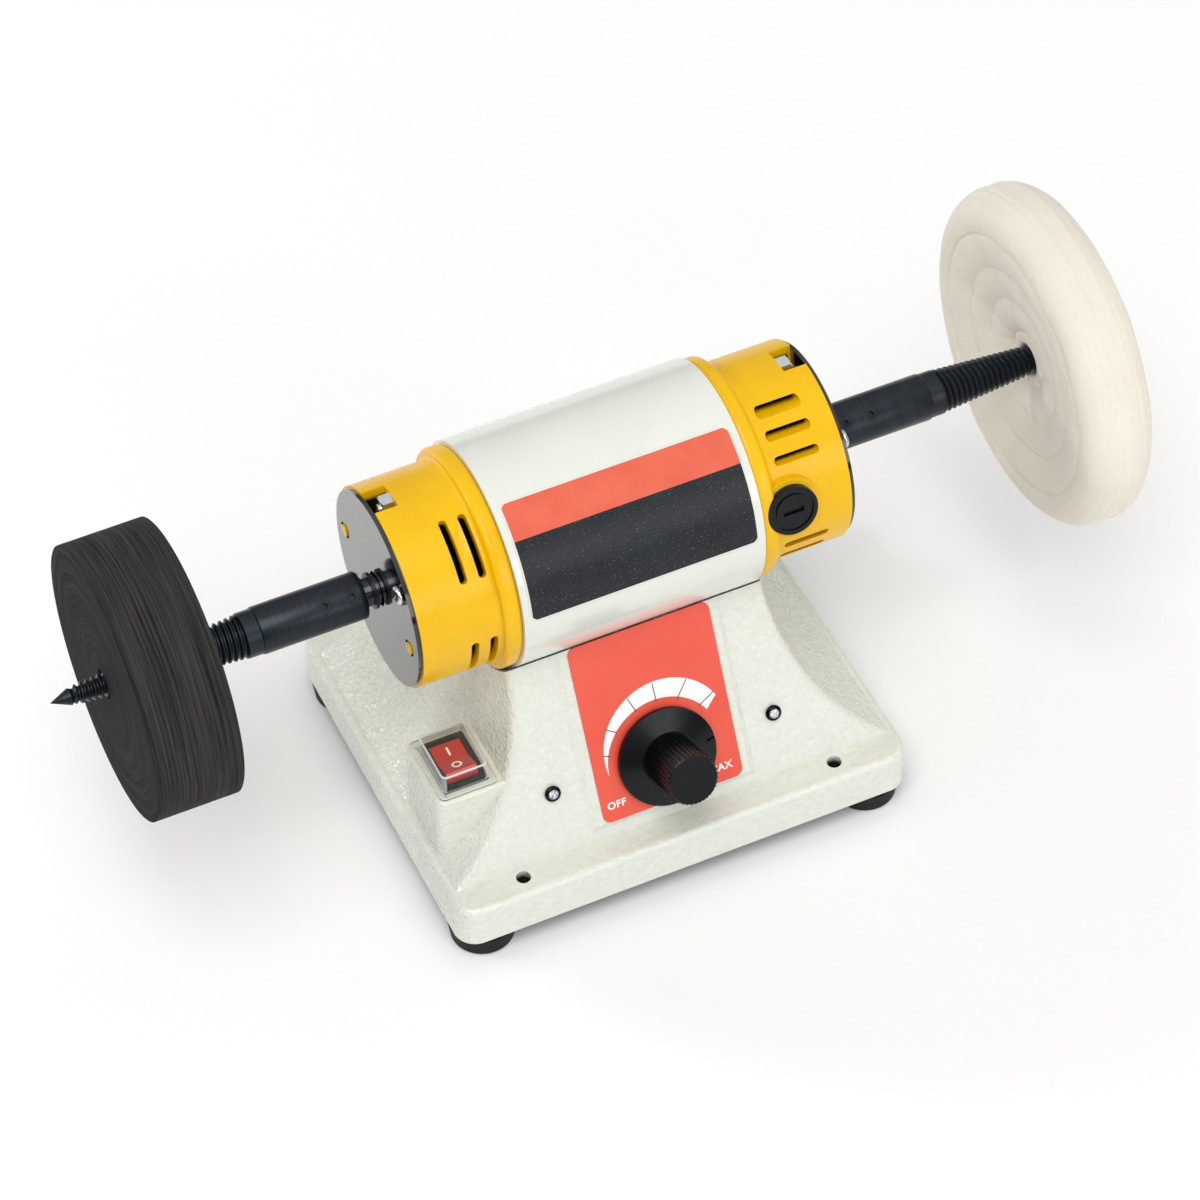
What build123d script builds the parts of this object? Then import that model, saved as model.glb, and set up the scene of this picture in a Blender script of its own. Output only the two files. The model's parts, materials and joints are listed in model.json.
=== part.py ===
"""Bench buffer: a brush motor on a cast stand, with a taper spindle at each end of its shaft.

Millimetres. +X runs along the shaft towards the cotton buff, -Y is the dial side and +Z is up.
The origin is the middle of the base's footprint, on the bench.
"""
import os
from math import acos, cos, radians, sin, sqrt

from build123d import *

# Fits
close_fit = 0.05
running_fit = 0.05
bolt_gap = 0.25
free_gap = 0.3

# Cast stand
base_length = 170.0
base_width = 144.0
corner_radius = 8.0
flange_height = 16.8
flange_edge_round = 2.2
casting_wall = 4.0
ledge = 11.0
face_lean = 25.0
flare_radius = 82.0
flank_inset = 3.0
flare_run = 34.5
pedestal_edge_round = 3.0
cradle_wall = 6.0
bench_bolt_radius = 2.6
bench_bolt_end = 26.25
bench_bolt_edge = 7.6
bench_boss_radius = 4.6

# Bottom plate and feet
plate_thickness = 1.2
plate_margin = 1.0
foot_height = 8.0
foot_radius = 12.0
foot_taper = 1.0
foot_round = 1.5
foot_inset = 12.0
foot_boss_radius = 5.0
foot_screw_radius = 2.0
foot_screw_length = 14.5
foot_screw_head_radius = 4.0
foot_screw_head_height = 2.4
foot_recess = 3.4

# Motor shell
axis_rise = 92.0
motor_tilt = 11.0
tube_radius = 40.0
tube_wall = 3.0
tube_length = 88.0
cap_length = 34.5
cap_step = 4.5
cap_wall = 4.8
bead_step = 1.0
bead_width = 6.2
spigot_length = 5.0
end_wall = 4.0
end_plate_thickness = 1.5
end_plate_step = 1.0
end_plate_gap = 1.2
shaft_clearance = 2.0
bead_round = 1.8
bead_root = 1.3
pin_inset = 7.5
pin_radius = 2.2
pin_proud = 0.5
pin_angle = 5.0
pin_slot_length = 6.4
plate_screw_inset = 4.5
plate_screw_angle = 139.0
plate_screw_radius = 1.5
plate_screw_length = 8.0
plate_screw_head_radius = 3.2
plate_screw_head_height = 2.2
plate_screw_boss = 3.2
motor_bolt_radius = 2.5
motor_bolt_inset = 23.5
motor_bolt_head = 8.0
motor_bolt_head_height = 3.5

# Tie rods
rod_radius = 2.0
rod_inset = 4.5
rod_boss_radius = 3.6
rod_nut_width = 7.8
rod_nut_height = 4.5
rod_proud = 0.8
notch_width = 12.5
notch_length = 8.2
notch_depth = 9.0

# Air slots
fan_slot_width = 2.8
fan_slot_arc = 32.0
fan_slot_angles = (109.5, 184.0, 289.5, 4.0)
fan_slot_inset = 9.2
fan_slot_pitch = 6.8
fan_slot_rows = 2
brush_slot_width = 2.8
brush_slot_length = 16.4
brush_slot_first = 28.5
brush_slot_shift = 2.0
brush_slot_pitch = 14.2
brush_slot_inset = 18.0
brush_slot_floor = 8.5
brush_slots_each_side = 3

# Brush gear
brush_inset = 11.4
brush_lead = 5.0
brush_boss_radius = 9.3
brush_boss_rise = 1.3
brush_pad_radius = 11.2
brush_boss_inner = 17.0
brush_holder_radius = 6.5
brush_length = 8.0
brush_width = 5.0
brush_face_gap = 0.3
spring_radius = 2.2
spring_wire = 0.6
spring_length = 6.2
brush_cap_radius = 9.0
brush_cap_height = 2.4
brush_cap_stem = 2.8
brush_cap_nub = 1.5
brush_cap_slot_width = 2.1
brush_cap_slot_length = 7.6
brush_cap_slot_depth = 1.0
brush_cap_ring = 1.2
brush_cap_ring_depth = 0.5
brush_cap_rim = 1.6

# Motor inside
magnet_thickness = 9.2
magnet_arc = 100.0
magnet_length = 54.0
air_gap = 0.75
core_length = 48.0
core_slots = 12
core_slot_opening = 2.2
core_tooth = 3.4
core_slot_depth = 8.0
winding_overhang = 12.0
winding_inner = 9.0
winding_outer_step = 2.0
winding_round = 4.0
commutator_radius = 12.0
commutator_length = 14.0
commutator_bars = 24
riser_radius = 14.0
riser_width = 2.5
bar_gap = 0.6
bar_groove_depth = 0.8
fan_clearance = 1.4
fan_hub_radius = 9.0
fan_blades = 9
fan_blade_width = 12.0
fan_blade_thickness = 1.5
fan_disc_thickness = 1.5
fan_inset = 1.0

# Bearings
bearing_outer_radius = 13.0
bearing_width = 8.0
bearing_boss_wall = 3.5
race_thickness = 2.6
ball_radius = 2.3
ball_count = 7
groove_gap = 0.08

# Shaft and spindles
shaft_radius = 5.0
shoulder_radius = 6.0
ring_width = 1.2
ring_radius = 6.4
ring_groove = 0.4
ring_opening = 2.6
ring_offset = 1.6
sleeve_gap = 6.0
sleeve_length = 37.5
sleeve_radius = 8.3
sleeve_chamfer = 0.6
shaft_reach = 33.5
neck_length = 5.5
neck_radius = 7.9
taper_length = 59.5
taper_start_radius = 7.7
taper_end_radius = 3.3
tip_length = 7.5
set_screw_radius = 2.5
set_screw_offsets = (5.0, 14.7)
set_screw_angle = 130.0
set_screw_sink = 0.3
set_screw_key = 2.5
set_screw_key_depth = 1.6

# Wheels
wheel_radius = 48.0
wheel_thickness = 30.0
wheel_seat = 18.0
wheel_chamfer = 0.5
buff_radius = 61.4
buff_thickness = 26.0
buff_seat = 28.2
buff_rim_round = 11.0
buff_dish = 6.8
buff_dish_radius = 46.0
wheel_fit = 0.2

# Dial face
pad_inset = 16.5
pad_rise = 1.2
pad_side_angle = 60.0
pad_bottom = 3.6
panel_margin = 4.8
panel_bottom = 5.8
panel_thickness = 0.5
panel_corner = 3.0
panel_top_gap = 0.7
face_row = 23.4
front_screw_inset = 6.0
front_screw_radius = 2.0
front_screw_head_radius = 2.9
front_screw_head_height = 1.6
front_nut_width = 7.0
front_nut_height = 3.0
front_screw_proud = 0.8
bracket_margin = 6.5
bracket_width = 26.0
bracket_thickness = 1.5

# Speed control
pot_radius = 12.0
pot_depth = 10.0
bushing_radius = 3.5
bushing_proud = 2.6
pot_nut_width = 10.0
pot_nut_height = 2.0
pot_shaft_radius = 3.0
pot_shaft_inside = 7.0
pot_shaft_proud = 17.0
knob_gap = 0.6
knob_height = 24.7
skirt_radius = 17.8
skirt_rim = 2.4
skirt_rise = 2.3
skirt_top_radius = 10.2
skirt_hollow_radius = 8.0
skirt_hollow_height = 3.0
skirt_edge_round = 0.6
grip_radius = 9.3
grip_ribs = 36
grip_rib_radius = 0.62
grip_edge_round = 0.8
pointer_angle = 5.0
pointer_width = 0.9
pointer_depth = 0.4
pointer_length = 3.4

# Switch
boss_rise = 29.5
boss_inset = 4.0
boss_front = 46.6
boss_length = 30.8
boss_corner = 4.0
boss_wall = 3.5
boss_top_wall = 3.0
boss_edge_round = 1.2
switch_body_width = 13.9
switch_body_length = 20.0
switch_body_depth = 17.0
bezel_width = 15.4
bezel_length = 21.4
bezel_height = 2.0
bezel_corner = 1.2
rocker_width = 11.2
rocker_half_length = 7.4
rocker_tip_height = 5.0
rocker_dip = 1.4
rocker_depth = 4.5
pocket_clearance = 1.5
rocker_foot = 3.0
rocker_heel = 2.0
rocker_tilt = 9.0
rocker_gap = 0.3
pivot_below_bezel = 4.0
pivot_pin_radius = 1.2
pivot_pin_bite = 0.8
terminal_width = 6.0
terminal_thickness = 0.8
terminal_length = 8.0
terminal_pitch = 7.0
cover_flange_width = 21.0
cover_flange_length = 28.5
cover_flange_thickness = 1.0
cover_width = 18.6
cover_length = 25.0
cover_top_width = 16.6
cover_top_length = 21.0
cover_height = 7.1
cover_wall = 0.9
cover_corner = 2.0

# Rating label
label_length = 83.0
label_thickness = 0.3
label_corner = 4.0
label_start = 112.0
label_end = 173.4

# Control board and cord inlet
board_length = 70.0
board_width = 50.0
board_thickness = 1.6
board_shift = 12.0
board_hole_inset = 5.0
standoff_height = 6.0
standoff_radius = 3.0
board_screw_radius = 1.25
board_screw_length = 5.0
board_screw_head_radius = 2.5
board_screw_head_height = 1.6
sink_length = 34.0
sink_width = 12.0
sink_height = 20.0
sink_fins = 6
sink_fin_gap = 2.4
sink_back = 4.0
sink_x = -12.0
capacitor_x = 20.0
capacitor_radius = 6.5
capacitor_height = 17.0
inlet_radius = 4.6
inlet_bore = 3.5
inlet_flange_radius = 6.0
inlet_flange = 1.5

# Heights and stations that follow from the sizes above
casting_bottom = foot_height + plate_thickness
flange_top = casting_bottom + flange_height
axis_height = flange_top + axis_rise
face_foot = base_width / 2 - ledge
foot_x = base_length / 2 - foot_inset
foot_y = base_width / 2 - foot_inset
bench_bolt_x = base_length / 2 - bench_bolt_end
bench_bolt_y = base_width / 2 - bench_bolt_edge
boss_top = flange_top + boss_rise
boss_outer_x = -(base_length / 2 - boss_inset)
cavity_top = axis_height - tube_radius - cradle_wall
neck_half_width = base_length / 2 - flank_inset - flare_run
flare_centre_x = neck_half_width + flare_radius
flare_turn = acos((flare_radius - flare_run) / flare_radius)
flare_centre_z = flange_top + flare_radius * sin(flare_turn)
pad_width = 2 * (neck_half_width - pad_inset)
panel_width = pad_width - 2 * panel_margin
front_screw_x = neck_half_width - front_screw_inset
bracket_length = 2 * (front_screw_x + bracket_margin)
motor_bolt_x = neck_half_width - motor_bolt_inset

tube_end = tube_length / 2
cap_end = tube_end + cap_length
plate_face = cap_end + end_plate_thickness
cap_radius = tube_radius - cap_step
bead_radius = tube_radius - bead_step
spigot_radius = tube_radius - tube_wall - close_fit
end_plate_radius = cap_radius - end_plate_step
end_plate_bore = shaft_radius + end_plate_gap
pin_circle = end_plate_radius - pin_inset
plate_screw_circle = end_plate_radius - plate_screw_inset
rod_circle = cap_radius - rod_inset
notch_floor = cap_end - notch_length
rod_angle = 90 - motor_tilt
brush_angle = 180 - motor_tilt - brush_lead
brush_turns = (brush_angle, brush_angle + 180)
brush_station = tube_end + brush_inset
brush_slot_x = tube_end + brush_slot_inset
brush_seat = cap_radius + brush_boss_rise
holder_top = brush_seat - brush_cap_stem
rod_end = notch_floor + rod_nut_height + rod_proud

bearing_start = cap_end - end_wall - bearing_width
bearing_middle = bearing_start + bearing_width / 2
ball_circle = (shaft_radius + close_fit + bearing_outer_radius) / 2
magnet_inner = spigot_radius - magnet_thickness
armature_radius = magnet_inner - air_gap
core_slot_circle = armature_radius - core_slot_depth
core_slot_radius = core_slot_circle * sin(radians(180 / core_slots)) - core_tooth / 2
fan_radius = rod_circle - rod_boss_radius - fan_clearance

sleeve_start = plate_face + sleeve_gap
sleeve_end = sleeve_start + sleeve_length
taper_start = sleeve_end + neck_length
taper_end = taper_start + taper_length
tip_end = taper_end + tip_length
shaft_end = sleeve_start + shaft_reach
spindle_bore_end = shaft_end + free_gap

# The front face: its plane starts where the face meets the flange and its Y runs up the slope
lean_sin = sin(radians(face_lean))
lean_cos = cos(radians(face_lean))
front_plane = Plane(
    origin=(0, -face_foot, flange_top), x_dir=(1, 0, 0), z_dir=(0, -lean_cos, lean_sin)
)
axis_up_face = face_foot * lean_sin + axis_rise * lean_cos
axis_behind_face = face_foot * lean_cos - axis_rise * lean_sin

motor_plane = Plane(origin=(0, 0, axis_height), x_dir=(1, 0, 0), z_dir=(0, -1, 0))
shaft_axis = Axis((0, 0, axis_height), (1, 0, 0))

panel_face = pad_rise + panel_thickness
bracket_back = -casting_wall - bracket_thickness
board_bottom = casting_bottom + standoff_height
inlet_z = casting_bottom + (flange_height - casting_wall) / 2
inlet_plane = Plane(origin=(0, base_width / 2, inlet_z), x_dir=(-1, 0, 0), z_dir=(0, 1, 0))


def face_point(height):
    """Plane on the knob's axis, this far out from the cast face."""
    origin = front_plane.from_local_coords((0, face_row, height))
    return Plane(origin=origin, x_dir=front_plane.x_dir, z_dir=front_plane.z_dir)


def section_at(x):
    """Plane across the motor at x: its X is the stand's Y and its Y is up."""
    return Plane(origin=(x, 0, axis_height), x_dir=(0, 1, 0), z_dir=(1, 0, 0))


def facing_plane(side, x):
    """Plane across the motor at this distance on one side, facing outwards along the shaft."""
    return Plane(origin=(side * x, 0, axis_height), x_dir=(0, side, 0), z_dir=(side, 0, 0))


def radial_at(x, angle, radius):
    """Plane facing out from the motor's axis; angle runs from the back over the top."""
    outward = Vector(0, cos(radians(angle)), sin(radians(angle)))
    origin = Vector(x, 0, axis_height) + outward * radius
    return Plane(origin=origin, x_dir=(1, 0, 0), z_dir=outward)


def slice_at(angle):
    """Plane through the motor's axis: X runs along the shaft and Y outwards at this angle."""
    facing = (0, -sin(radians(angle)), cos(radians(angle)))
    return Plane(origin=(0, 0, axis_height), x_dir=(1, 0, 0), z_dir=facing)


def slope_at(height, radius):
    """How far up the face a plane this far out from it comes to a circle about the motor's axis."""
    return axis_up_face - sqrt(radius**2 - (height + axis_behind_face) ** 2)


def taper_radius(x):
    """Thread crest radius of a spindle, at this distance from the middle of the shaft."""
    share = (x - taper_start) / taper_length
    return taper_start_radius + (taper_end_radius - taper_start_radius) * share


def flank_x(radius, z):
    """Half width of the flared pedestal at a height, for a flank arc of this radius."""
    return flare_centre_x - sqrt(radius**2 - (flare_centre_z - z) ** 2)


def pedestal(wall, bottom, arc_bottom, arc_top, top):
    """Pedestal drawn in by a wall: flared flanks, faces leaning in at the front and back."""
    radius = flare_radius + wall
    arc_middle = (arc_bottom + arc_top) / 2
    arc_points = [(flank_x(radius, z), z) for z in (arc_bottom, arc_middle, arc_top)]
    half_depth = face_foot - wall / lean_cos
    low_half = half_depth + (flange_top - bottom) * lean_sin / lean_cos
    top_half = half_depth + (flange_top - top) * lean_sin / lean_cos
    with BuildPart() as body:
        with BuildSketch(Plane.XZ):
            with BuildLine():
                Line((0, bottom), (arc_points[0][0], bottom))
                if arc_bottom > bottom:
                    Line((arc_points[0][0], bottom), arc_points[0])
                ThreePointArc(*arc_points)
                if top > arc_top:
                    Line(arc_points[2], (arc_points[2][0], top))
                Line((arc_points[2][0], top), (0, top))
                mirror(about=Plane.YZ)
            make_face()
        extrude(amount=base_width / 2, both=True)
        with BuildSketch(Plane.YZ):
            with BuildLine():
                Polyline(
                    (-low_half, bottom), (low_half, bottom), (top_half, top), (-top_half, top), close=True
                )
            make_face()
        extrude(amount=base_length / 2, both=True, mode=Mode.INTERSECT)
    return body.part


def screw_set(plane, places, head_radius, head_height, radius, length):
    """Plain round-headed screws with their heads seated on a plane, one at each local place."""
    with BuildPart() as screws:
        with BuildSketch(plane):
            with Locations(*places):
                Circle(head_radius)
        extrude(amount=head_height)
        tops = screws.faces().sort_by(Axis(plane.origin, plane.z_dir))[-len(places) :]
        fillet(tops.edges(), head_height / 2)
        with BuildSketch(plane):
            with Locations(*places):
                Circle(radius)
        extrude(amount=-length)
    return screws.part


def nut_set(plane, places, width, height, bore):
    """Hexagon nuts seated on a plane, one at each local place."""
    with BuildPart() as nuts:
        with BuildSketch(plane):
            with Locations(*places):
                RegularPolygon(width / 2, 6, major_radius=False)
                Circle(bore, mode=Mode.SUBTRACT)
        extrude(amount=height)
    return nuts.part


def polar_places(radius, angle):
    """Two opposite places on a circle, in a plane across the motor."""
    turns = (radians(angle), radians(angle + 180))
    return [(radius * cos(turn), radius * sin(turn)) for turn in turns]


def corner_places(spacing_x, spacing_y):
    """The four corners of a rectangle about a plane's origin."""
    return [(x * spacing_x / 2, y * spacing_y / 2) for x in (-1, 1) for y in (-1, 1)]


switch_x = (boss_outer_x - flank_x(flare_radius, boss_top)) / 2
switch_y = boss_length / 2 - boss_front
pivot_z = boss_top + bezel_height - pivot_below_bezel
rod_places = polar_places(rod_circle, rod_angle)
plate_screw_places = polar_places(plate_screw_circle, plate_screw_angle)
pin_places = polar_places(pin_circle, pin_angle)
foot_places = corner_places(2 * foot_x, 2 * foot_y)
bench_places = corner_places(2 * bench_bolt_x, 2 * bench_bolt_y)
front_places = [(-front_screw_x, 0), (front_screw_x, 0)]
motor_bolt_places = [(-motor_bolt_x, 0), (motor_bolt_x, 0)]
board_places = [
    (x, y + board_shift)
    for x, y in corner_places(board_length - 2 * board_hole_inset, board_width - 2 * board_hole_inset)
]

# Base casting: flange, pedestal, dial pad and switch boss, hollow from below
pedestal_outside = pedestal(0, flange_top - casting_wall, flange_top, flare_centre_z, axis_height)
pedestal_inside = pedestal(
    casting_wall, flange_top - casting_wall, flange_top - casting_wall, cavity_top, cavity_top
)
with BuildPart() as flange:
    with BuildSketch(Plane.XY.offset(casting_bottom)):
        RectangleRounded(base_length, base_width, corner_radius)
    extrude(amount=flange_height)
    fillet(flange.faces().sort_by(Axis.Z)[-1].edges(), flange_edge_round)

with BuildPart() as switch_boss:
    with BuildSketch(Plane.XY.offset(flange_top - casting_wall)):
        with Locations(((boss_outer_x - neck_half_width) / 2, switch_y)):
            RectangleRounded(-boss_outer_x - neck_half_width, boss_length, boss_corner)
    extrude(amount=boss_rise + casting_wall)
    fillet(switch_boss.faces().sort_by(Axis.Z)[-1].edges(), boss_edge_round)

with BuildPart() as base_casting:
    add(pedestal_outside)
    long_edges = base_casting.edges().filter_by(
        lambda edge: edge.bounding_box().size.Z > 2 * casting_wall
    )
    fillet(long_edges, pedestal_edge_round)
    add(flange.part)
    add(switch_boss.part)
    with BuildSketch(front_plane):
        pad_top = slope_at(0, tube_radius - tube_wall)
        with Locations((0, (pad_bottom + pad_top) / 2)):
            Rectangle(pad_width, pad_top - pad_bottom)
    extrude(amount=pad_rise, taper=pad_side_angle)
    with BuildSketch(section_at(-base_length / 2)):
        Circle(tube_radius + close_fit)
    extrude(amount=base_length, mode=Mode.SUBTRACT)
    add(pedestal_inside, mode=Mode.SUBTRACT)
    with BuildSketch(Plane.XY.offset(casting_bottom)):
        RectangleRounded(
            base_length - 2 * casting_wall, base_width - 2 * casting_wall, corner_radius - casting_wall
        )
    extrude(amount=flange_height - casting_wall, mode=Mode.SUBTRACT)
    with BuildSketch(Plane.XY.offset(casting_bottom)):
        with Locations(((boss_outer_x + boss_wall - neck_half_width) / 2, switch_y)):
            Rectangle(-boss_outer_x - boss_wall - neck_half_width, boss_length - 2 * boss_wall)
    extrude(amount=boss_top - boss_top_wall - casting_bottom, mode=Mode.SUBTRACT)
    with BuildSketch(Plane.XY.offset(casting_bottom)):
        with Locations(*foot_places):
            Circle(foot_boss_radius)
        with Locations(*bench_places):
            Circle(bench_boss_radius)
    extrude(amount=flange_height - casting_wall)
    with BuildSketch(Plane.XY.offset(casting_bottom)):
        with Locations(*foot_places):
            Circle(foot_screw_radius + close_fit)
    extrude(amount=flange_height - casting_wall, mode=Mode.SUBTRACT)
    with BuildSketch(Plane.XY.offset(casting_bottom)):
        with Locations(*bench_places):
            Circle(bench_bolt_radius)
    extrude(amount=flange_height, mode=Mode.SUBTRACT)
    with BuildSketch(Plane.XY.offset(boss_top)):
        with Locations((switch_x, switch_y)):
            Rectangle(switch_body_width + 2 * close_fit, switch_body_length + 2 * close_fit)
    extrude(amount=-boss_top_wall, mode=Mode.SUBTRACT)
    with BuildSketch(Plane.XY.offset(cavity_top)):
        with Locations(*motor_bolt_places):
            Circle(motor_bolt_radius + bolt_gap)
    extrude(amount=2 * cradle_wall, mode=Mode.SUBTRACT)
    with BuildSketch(face_point(pad_rise)):
        Circle(bushing_radius + bolt_gap)
        with Locations(*front_places):
            Circle(front_screw_radius + bolt_gap)
    extrude(amount=-pad_rise - 2 * casting_wall, mode=Mode.SUBTRACT)
    with Locations(inlet_plane):
        CounterBoreHole(
            inlet_radius + close_fit, inlet_flange_radius + close_fit, inlet_flange, 2 * casting_wall
        )

# Bottom plate, rubber feet and their screws
with BuildPart() as bottom_plate:
    with BuildSketch(Plane.XY.offset(foot_height)):
        RectangleRounded(
            base_length - 2 * plate_margin, base_width - 2 * plate_margin, corner_radius - plate_margin
        )
        with Locations(*foot_places):
            Circle(foot_screw_radius + bolt_gap, mode=Mode.SUBTRACT)
        with Locations(*bench_places):
            Circle(bench_bolt_radius + bolt_gap, mode=Mode.SUBTRACT)
    extrude(amount=plate_thickness)

with BuildPart() as rubber_feet:
    with Locations(*foot_places):
        Cone(
            foot_radius - foot_taper,
            foot_radius,
            foot_height,
            align=(Align.CENTER, Align.CENTER, Align.MIN),
        )
    fillet(rubber_feet.edges().group_by(Axis.Z)[0], foot_round)
    with BuildSketch():
        with Locations(*foot_places):
            Circle(foot_screw_head_radius + free_gap)
    extrude(amount=foot_recess, mode=Mode.SUBTRACT)
    with BuildSketch():
        with Locations(*foot_places):
            Circle(foot_screw_radius + bolt_gap)
    extrude(amount=foot_height, mode=Mode.SUBTRACT)

with BuildPart() as foot_screws:
    add(
        screw_set(
            Plane(origin=(0, 0, foot_recess), x_dir=(1, 0, 0), z_dir=(0, 0, -1)),
            foot_places,
            foot_screw_head_radius,
            foot_screw_head_height,
            foot_screw_radius,
            foot_screw_length,
        )
    )

# Motor tube on the cradle, its bolts and magnets
with BuildPart() as motor_tube:
    with BuildSketch(section_at(-tube_end)):
        Circle(tube_radius)
        Circle(tube_radius - tube_wall, mode=Mode.SUBTRACT)
    extrude(amount=tube_length)
    with BuildSketch(Plane.XY.offset(cavity_top)):
        with Locations(*motor_bolt_places):
            Circle(motor_bolt_radius + close_fit)
    extrude(amount=axis_height - cavity_top, mode=Mode.SUBTRACT)

with BuildPart() as motor_bolts:
    with BuildSketch(Plane.XY.offset(cavity_top)):
        with Locations(*motor_bolt_places):
            RegularPolygon(motor_bolt_head / 2, 6, major_radius=False)
    extrude(amount=-motor_bolt_head_height)
    with BuildSketch(Plane.XY.offset(cavity_top)):
        with Locations(*motor_bolt_places):
            Circle(motor_bolt_radius)
    extrude(amount=cradle_wall + tube_wall)

with BuildPart() as field_magnets:
    for angle in brush_turns:
        with BuildSketch(slice_at(angle - magnet_arc / 2)):
            with Locations((0, magnet_inner + magnet_thickness / 2)):
                Rectangle(magnet_length, magnet_thickness)
        revolve(axis=shaft_axis, revolution_arc=magnet_arc)


def end_cap(side):
    """End cap with its spigot, bearing seat, tie rod notches and plate bosses; side is -1 or 1."""
    bore = cap_radius - cap_wall
    spigot_bore = spigot_radius - cap_wall
    bead_end = tube_end + bead_width
    floor = cap_end - end_wall
    seat = bearing_outer_radius + close_fit
    outline = [
        (tube_end - spigot_length, spigot_bore),
        (tube_end - spigot_length, spigot_radius),
        (tube_end, spigot_radius),
        (tube_end, bead_radius),
        (bead_end, bead_radius),
        (bead_end, cap_radius),
        (cap_end, cap_radius),
        (cap_end, shaft_radius + shaft_clearance),
        (floor, shaft_radius + shaft_clearance),
        (floor, seat),
        (bearing_start, seat),
        (bearing_start, seat + bearing_boss_wall),
        (floor, seat + bearing_boss_wall),
        (floor, bore),
        (bead_end, bore),
        (tube_end, spigot_bore),
    ]
    with BuildPart() as cap:
        with BuildSketch(motor_plane) as profile:
            with BuildLine():
                Polyline(*[(side * x, radius) for x, radius in outline], close=True)
            make_face()
            crests = profile.vertices().filter_by(lambda corner: abs(corner.Y - bead_radius) < close_fit)
            fillet(crests, bead_round)
            rim = profile.vertices().filter_by(lambda corner: abs(corner.Y - cap_radius) < close_fit)
            fillet(rim.sort_by(lambda corner: abs(corner.X))[0], bead_root)
        revolve(axis=shaft_axis)
        with BuildSketch(section_at(side * bead_end)):
            with Locations(*rod_places):
                Circle(rod_boss_radius)
        extrude(amount=side * (floor - bead_end))
        with BuildSketch(section_at(side * notch_floor)):
            with Locations(*plate_screw_places):
                Circle(plate_screw_boss)
        extrude(amount=side * (floor - notch_floor))
        with BuildSketch(section_at(side * cap_end)):
            with Locations(*pin_places):
                Circle(pin_radius)
        extrude(amount=side * (end_plate_thickness + pin_proud))
        with BuildSketch(section_at(side * (tube_end - spigot_length))):
            with Locations(*rod_places):
                Circle(rod_radius + bolt_gap)
        extrude(amount=side * (spigot_length + cap_length), mode=Mode.SUBTRACT)
        with BuildSketch(section_at(side * cap_end)):
            with Locations(*plate_screw_places):
                Circle(plate_screw_radius + close_fit)
        extrude(amount=-side * notch_length, mode=Mode.SUBTRACT)
        with BuildSketch(section_at(side * notch_floor)):
            with PolarLocations(cap_radius, 2, start_angle=rod_angle):
                Rectangle(2 * notch_depth, notch_width)
        extrude(amount=side * 2 * notch_length, mode=Mode.SUBTRACT)
    return cap.part


# Fan end cap: two rows of round-ended slots that run round it
with BuildPart() as end_cap_left:
    add(end_cap(-1))
    for start in fan_slot_angles:
        for row in range(fan_slot_rows):
            slot_x = -(tube_end + fan_slot_inset + row * fan_slot_pitch)
            with BuildSketch(slice_at(start)):
                with Locations((slot_x, cap_radius)):
                    Rectangle(fan_slot_width, 4 * cap_wall)
            revolve(axis=shaft_axis, revolution_arc=fan_slot_arc, mode=Mode.SUBTRACT)
            for angle in (start, start + fan_slot_arc):
                with BuildSketch(radial_at(slot_x, angle, cap_radius - 2 * cap_wall)):
                    Circle(fan_slot_width / 2)
                extrude(amount=4 * cap_wall, mode=Mode.SUBTRACT)

# Brush end cap: a boss for each brush holder, and slots beside it that are all cored in one direction
with BuildPart() as end_cap_right:
    add(end_cap(1))
    for angle in brush_turns:
        with BuildSketch(radial_at(brush_station, angle, brush_boss_inner)):
            Circle(brush_boss_radius)
        extrude(amount=brush_seat - brush_boss_inner)
        with BuildSketch(radial_at(brush_station, angle, brush_seat)):
            Circle(brush_pad_radius)
        extrude(amount=-brush_boss_rise - cap_wall)
        with BuildSketch(radial_at(brush_station, angle, brush_seat)):
            Circle(brush_cap_radius + free_gap)
        extrude(amount=brush_cap_height, mode=Mode.SUBTRACT)
        with BuildSketch(radial_at(brush_station, angle, brush_boss_inner)):
            Circle(brush_holder_radius + close_fit)
        extrude(amount=cap_radius, mode=Mode.SUBTRACT)
        for step in range(brush_slots_each_side):
            reach = cap_radius * sin(radians(brush_slot_first + step * brush_slot_pitch))
            with BuildSketch(radial_at(brush_slot_x, angle + brush_slot_shift, brush_slot_floor)):
                with Locations((0, -reach), (0, reach)):
                    SlotOverall(brush_slot_length, brush_slot_width)
            extrude(amount=cap_radius, mode=Mode.SUBTRACT)


def end_plate(side):
    """Plate on the outside of an end cap, located by the cap's pins in two ovals."""
    with BuildPart() as plate:
        with BuildSketch(section_at(side * cap_end)):
            Circle(end_plate_radius)
            Circle(end_plate_bore, mode=Mode.SUBTRACT)
            with Locations(*plate_screw_places):
                Circle(plate_screw_radius + bolt_gap, mode=Mode.SUBTRACT)
            with PolarLocations(pin_circle, 2, start_angle=pin_angle):
                SlotOverall(pin_slot_length, 2 * (pin_radius + free_gap), mode=Mode.SUBTRACT)
        extrude(amount=side * end_plate_thickness)
    return plate.part


with BuildPart() as end_plate_left:
    add(end_plate(-1))

with BuildPart() as end_plate_right:
    add(end_plate(1))

with BuildPart() as plate_screws:
    for side in (-1, 1):
        add(
            screw_set(
                facing_plane(side, plate_face),
                [(side * y, z) for y, z in plate_screw_places],
                plate_screw_head_radius,
                plate_screw_head_height,
                plate_screw_radius,
                plate_screw_length,
            )
        )

with BuildPart() as tie_rods:
    with BuildSketch(section_at(-rod_end)):
        with Locations(*rod_places):
            Circle(rod_radius)
    extrude(amount=2 * rod_end)

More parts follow.
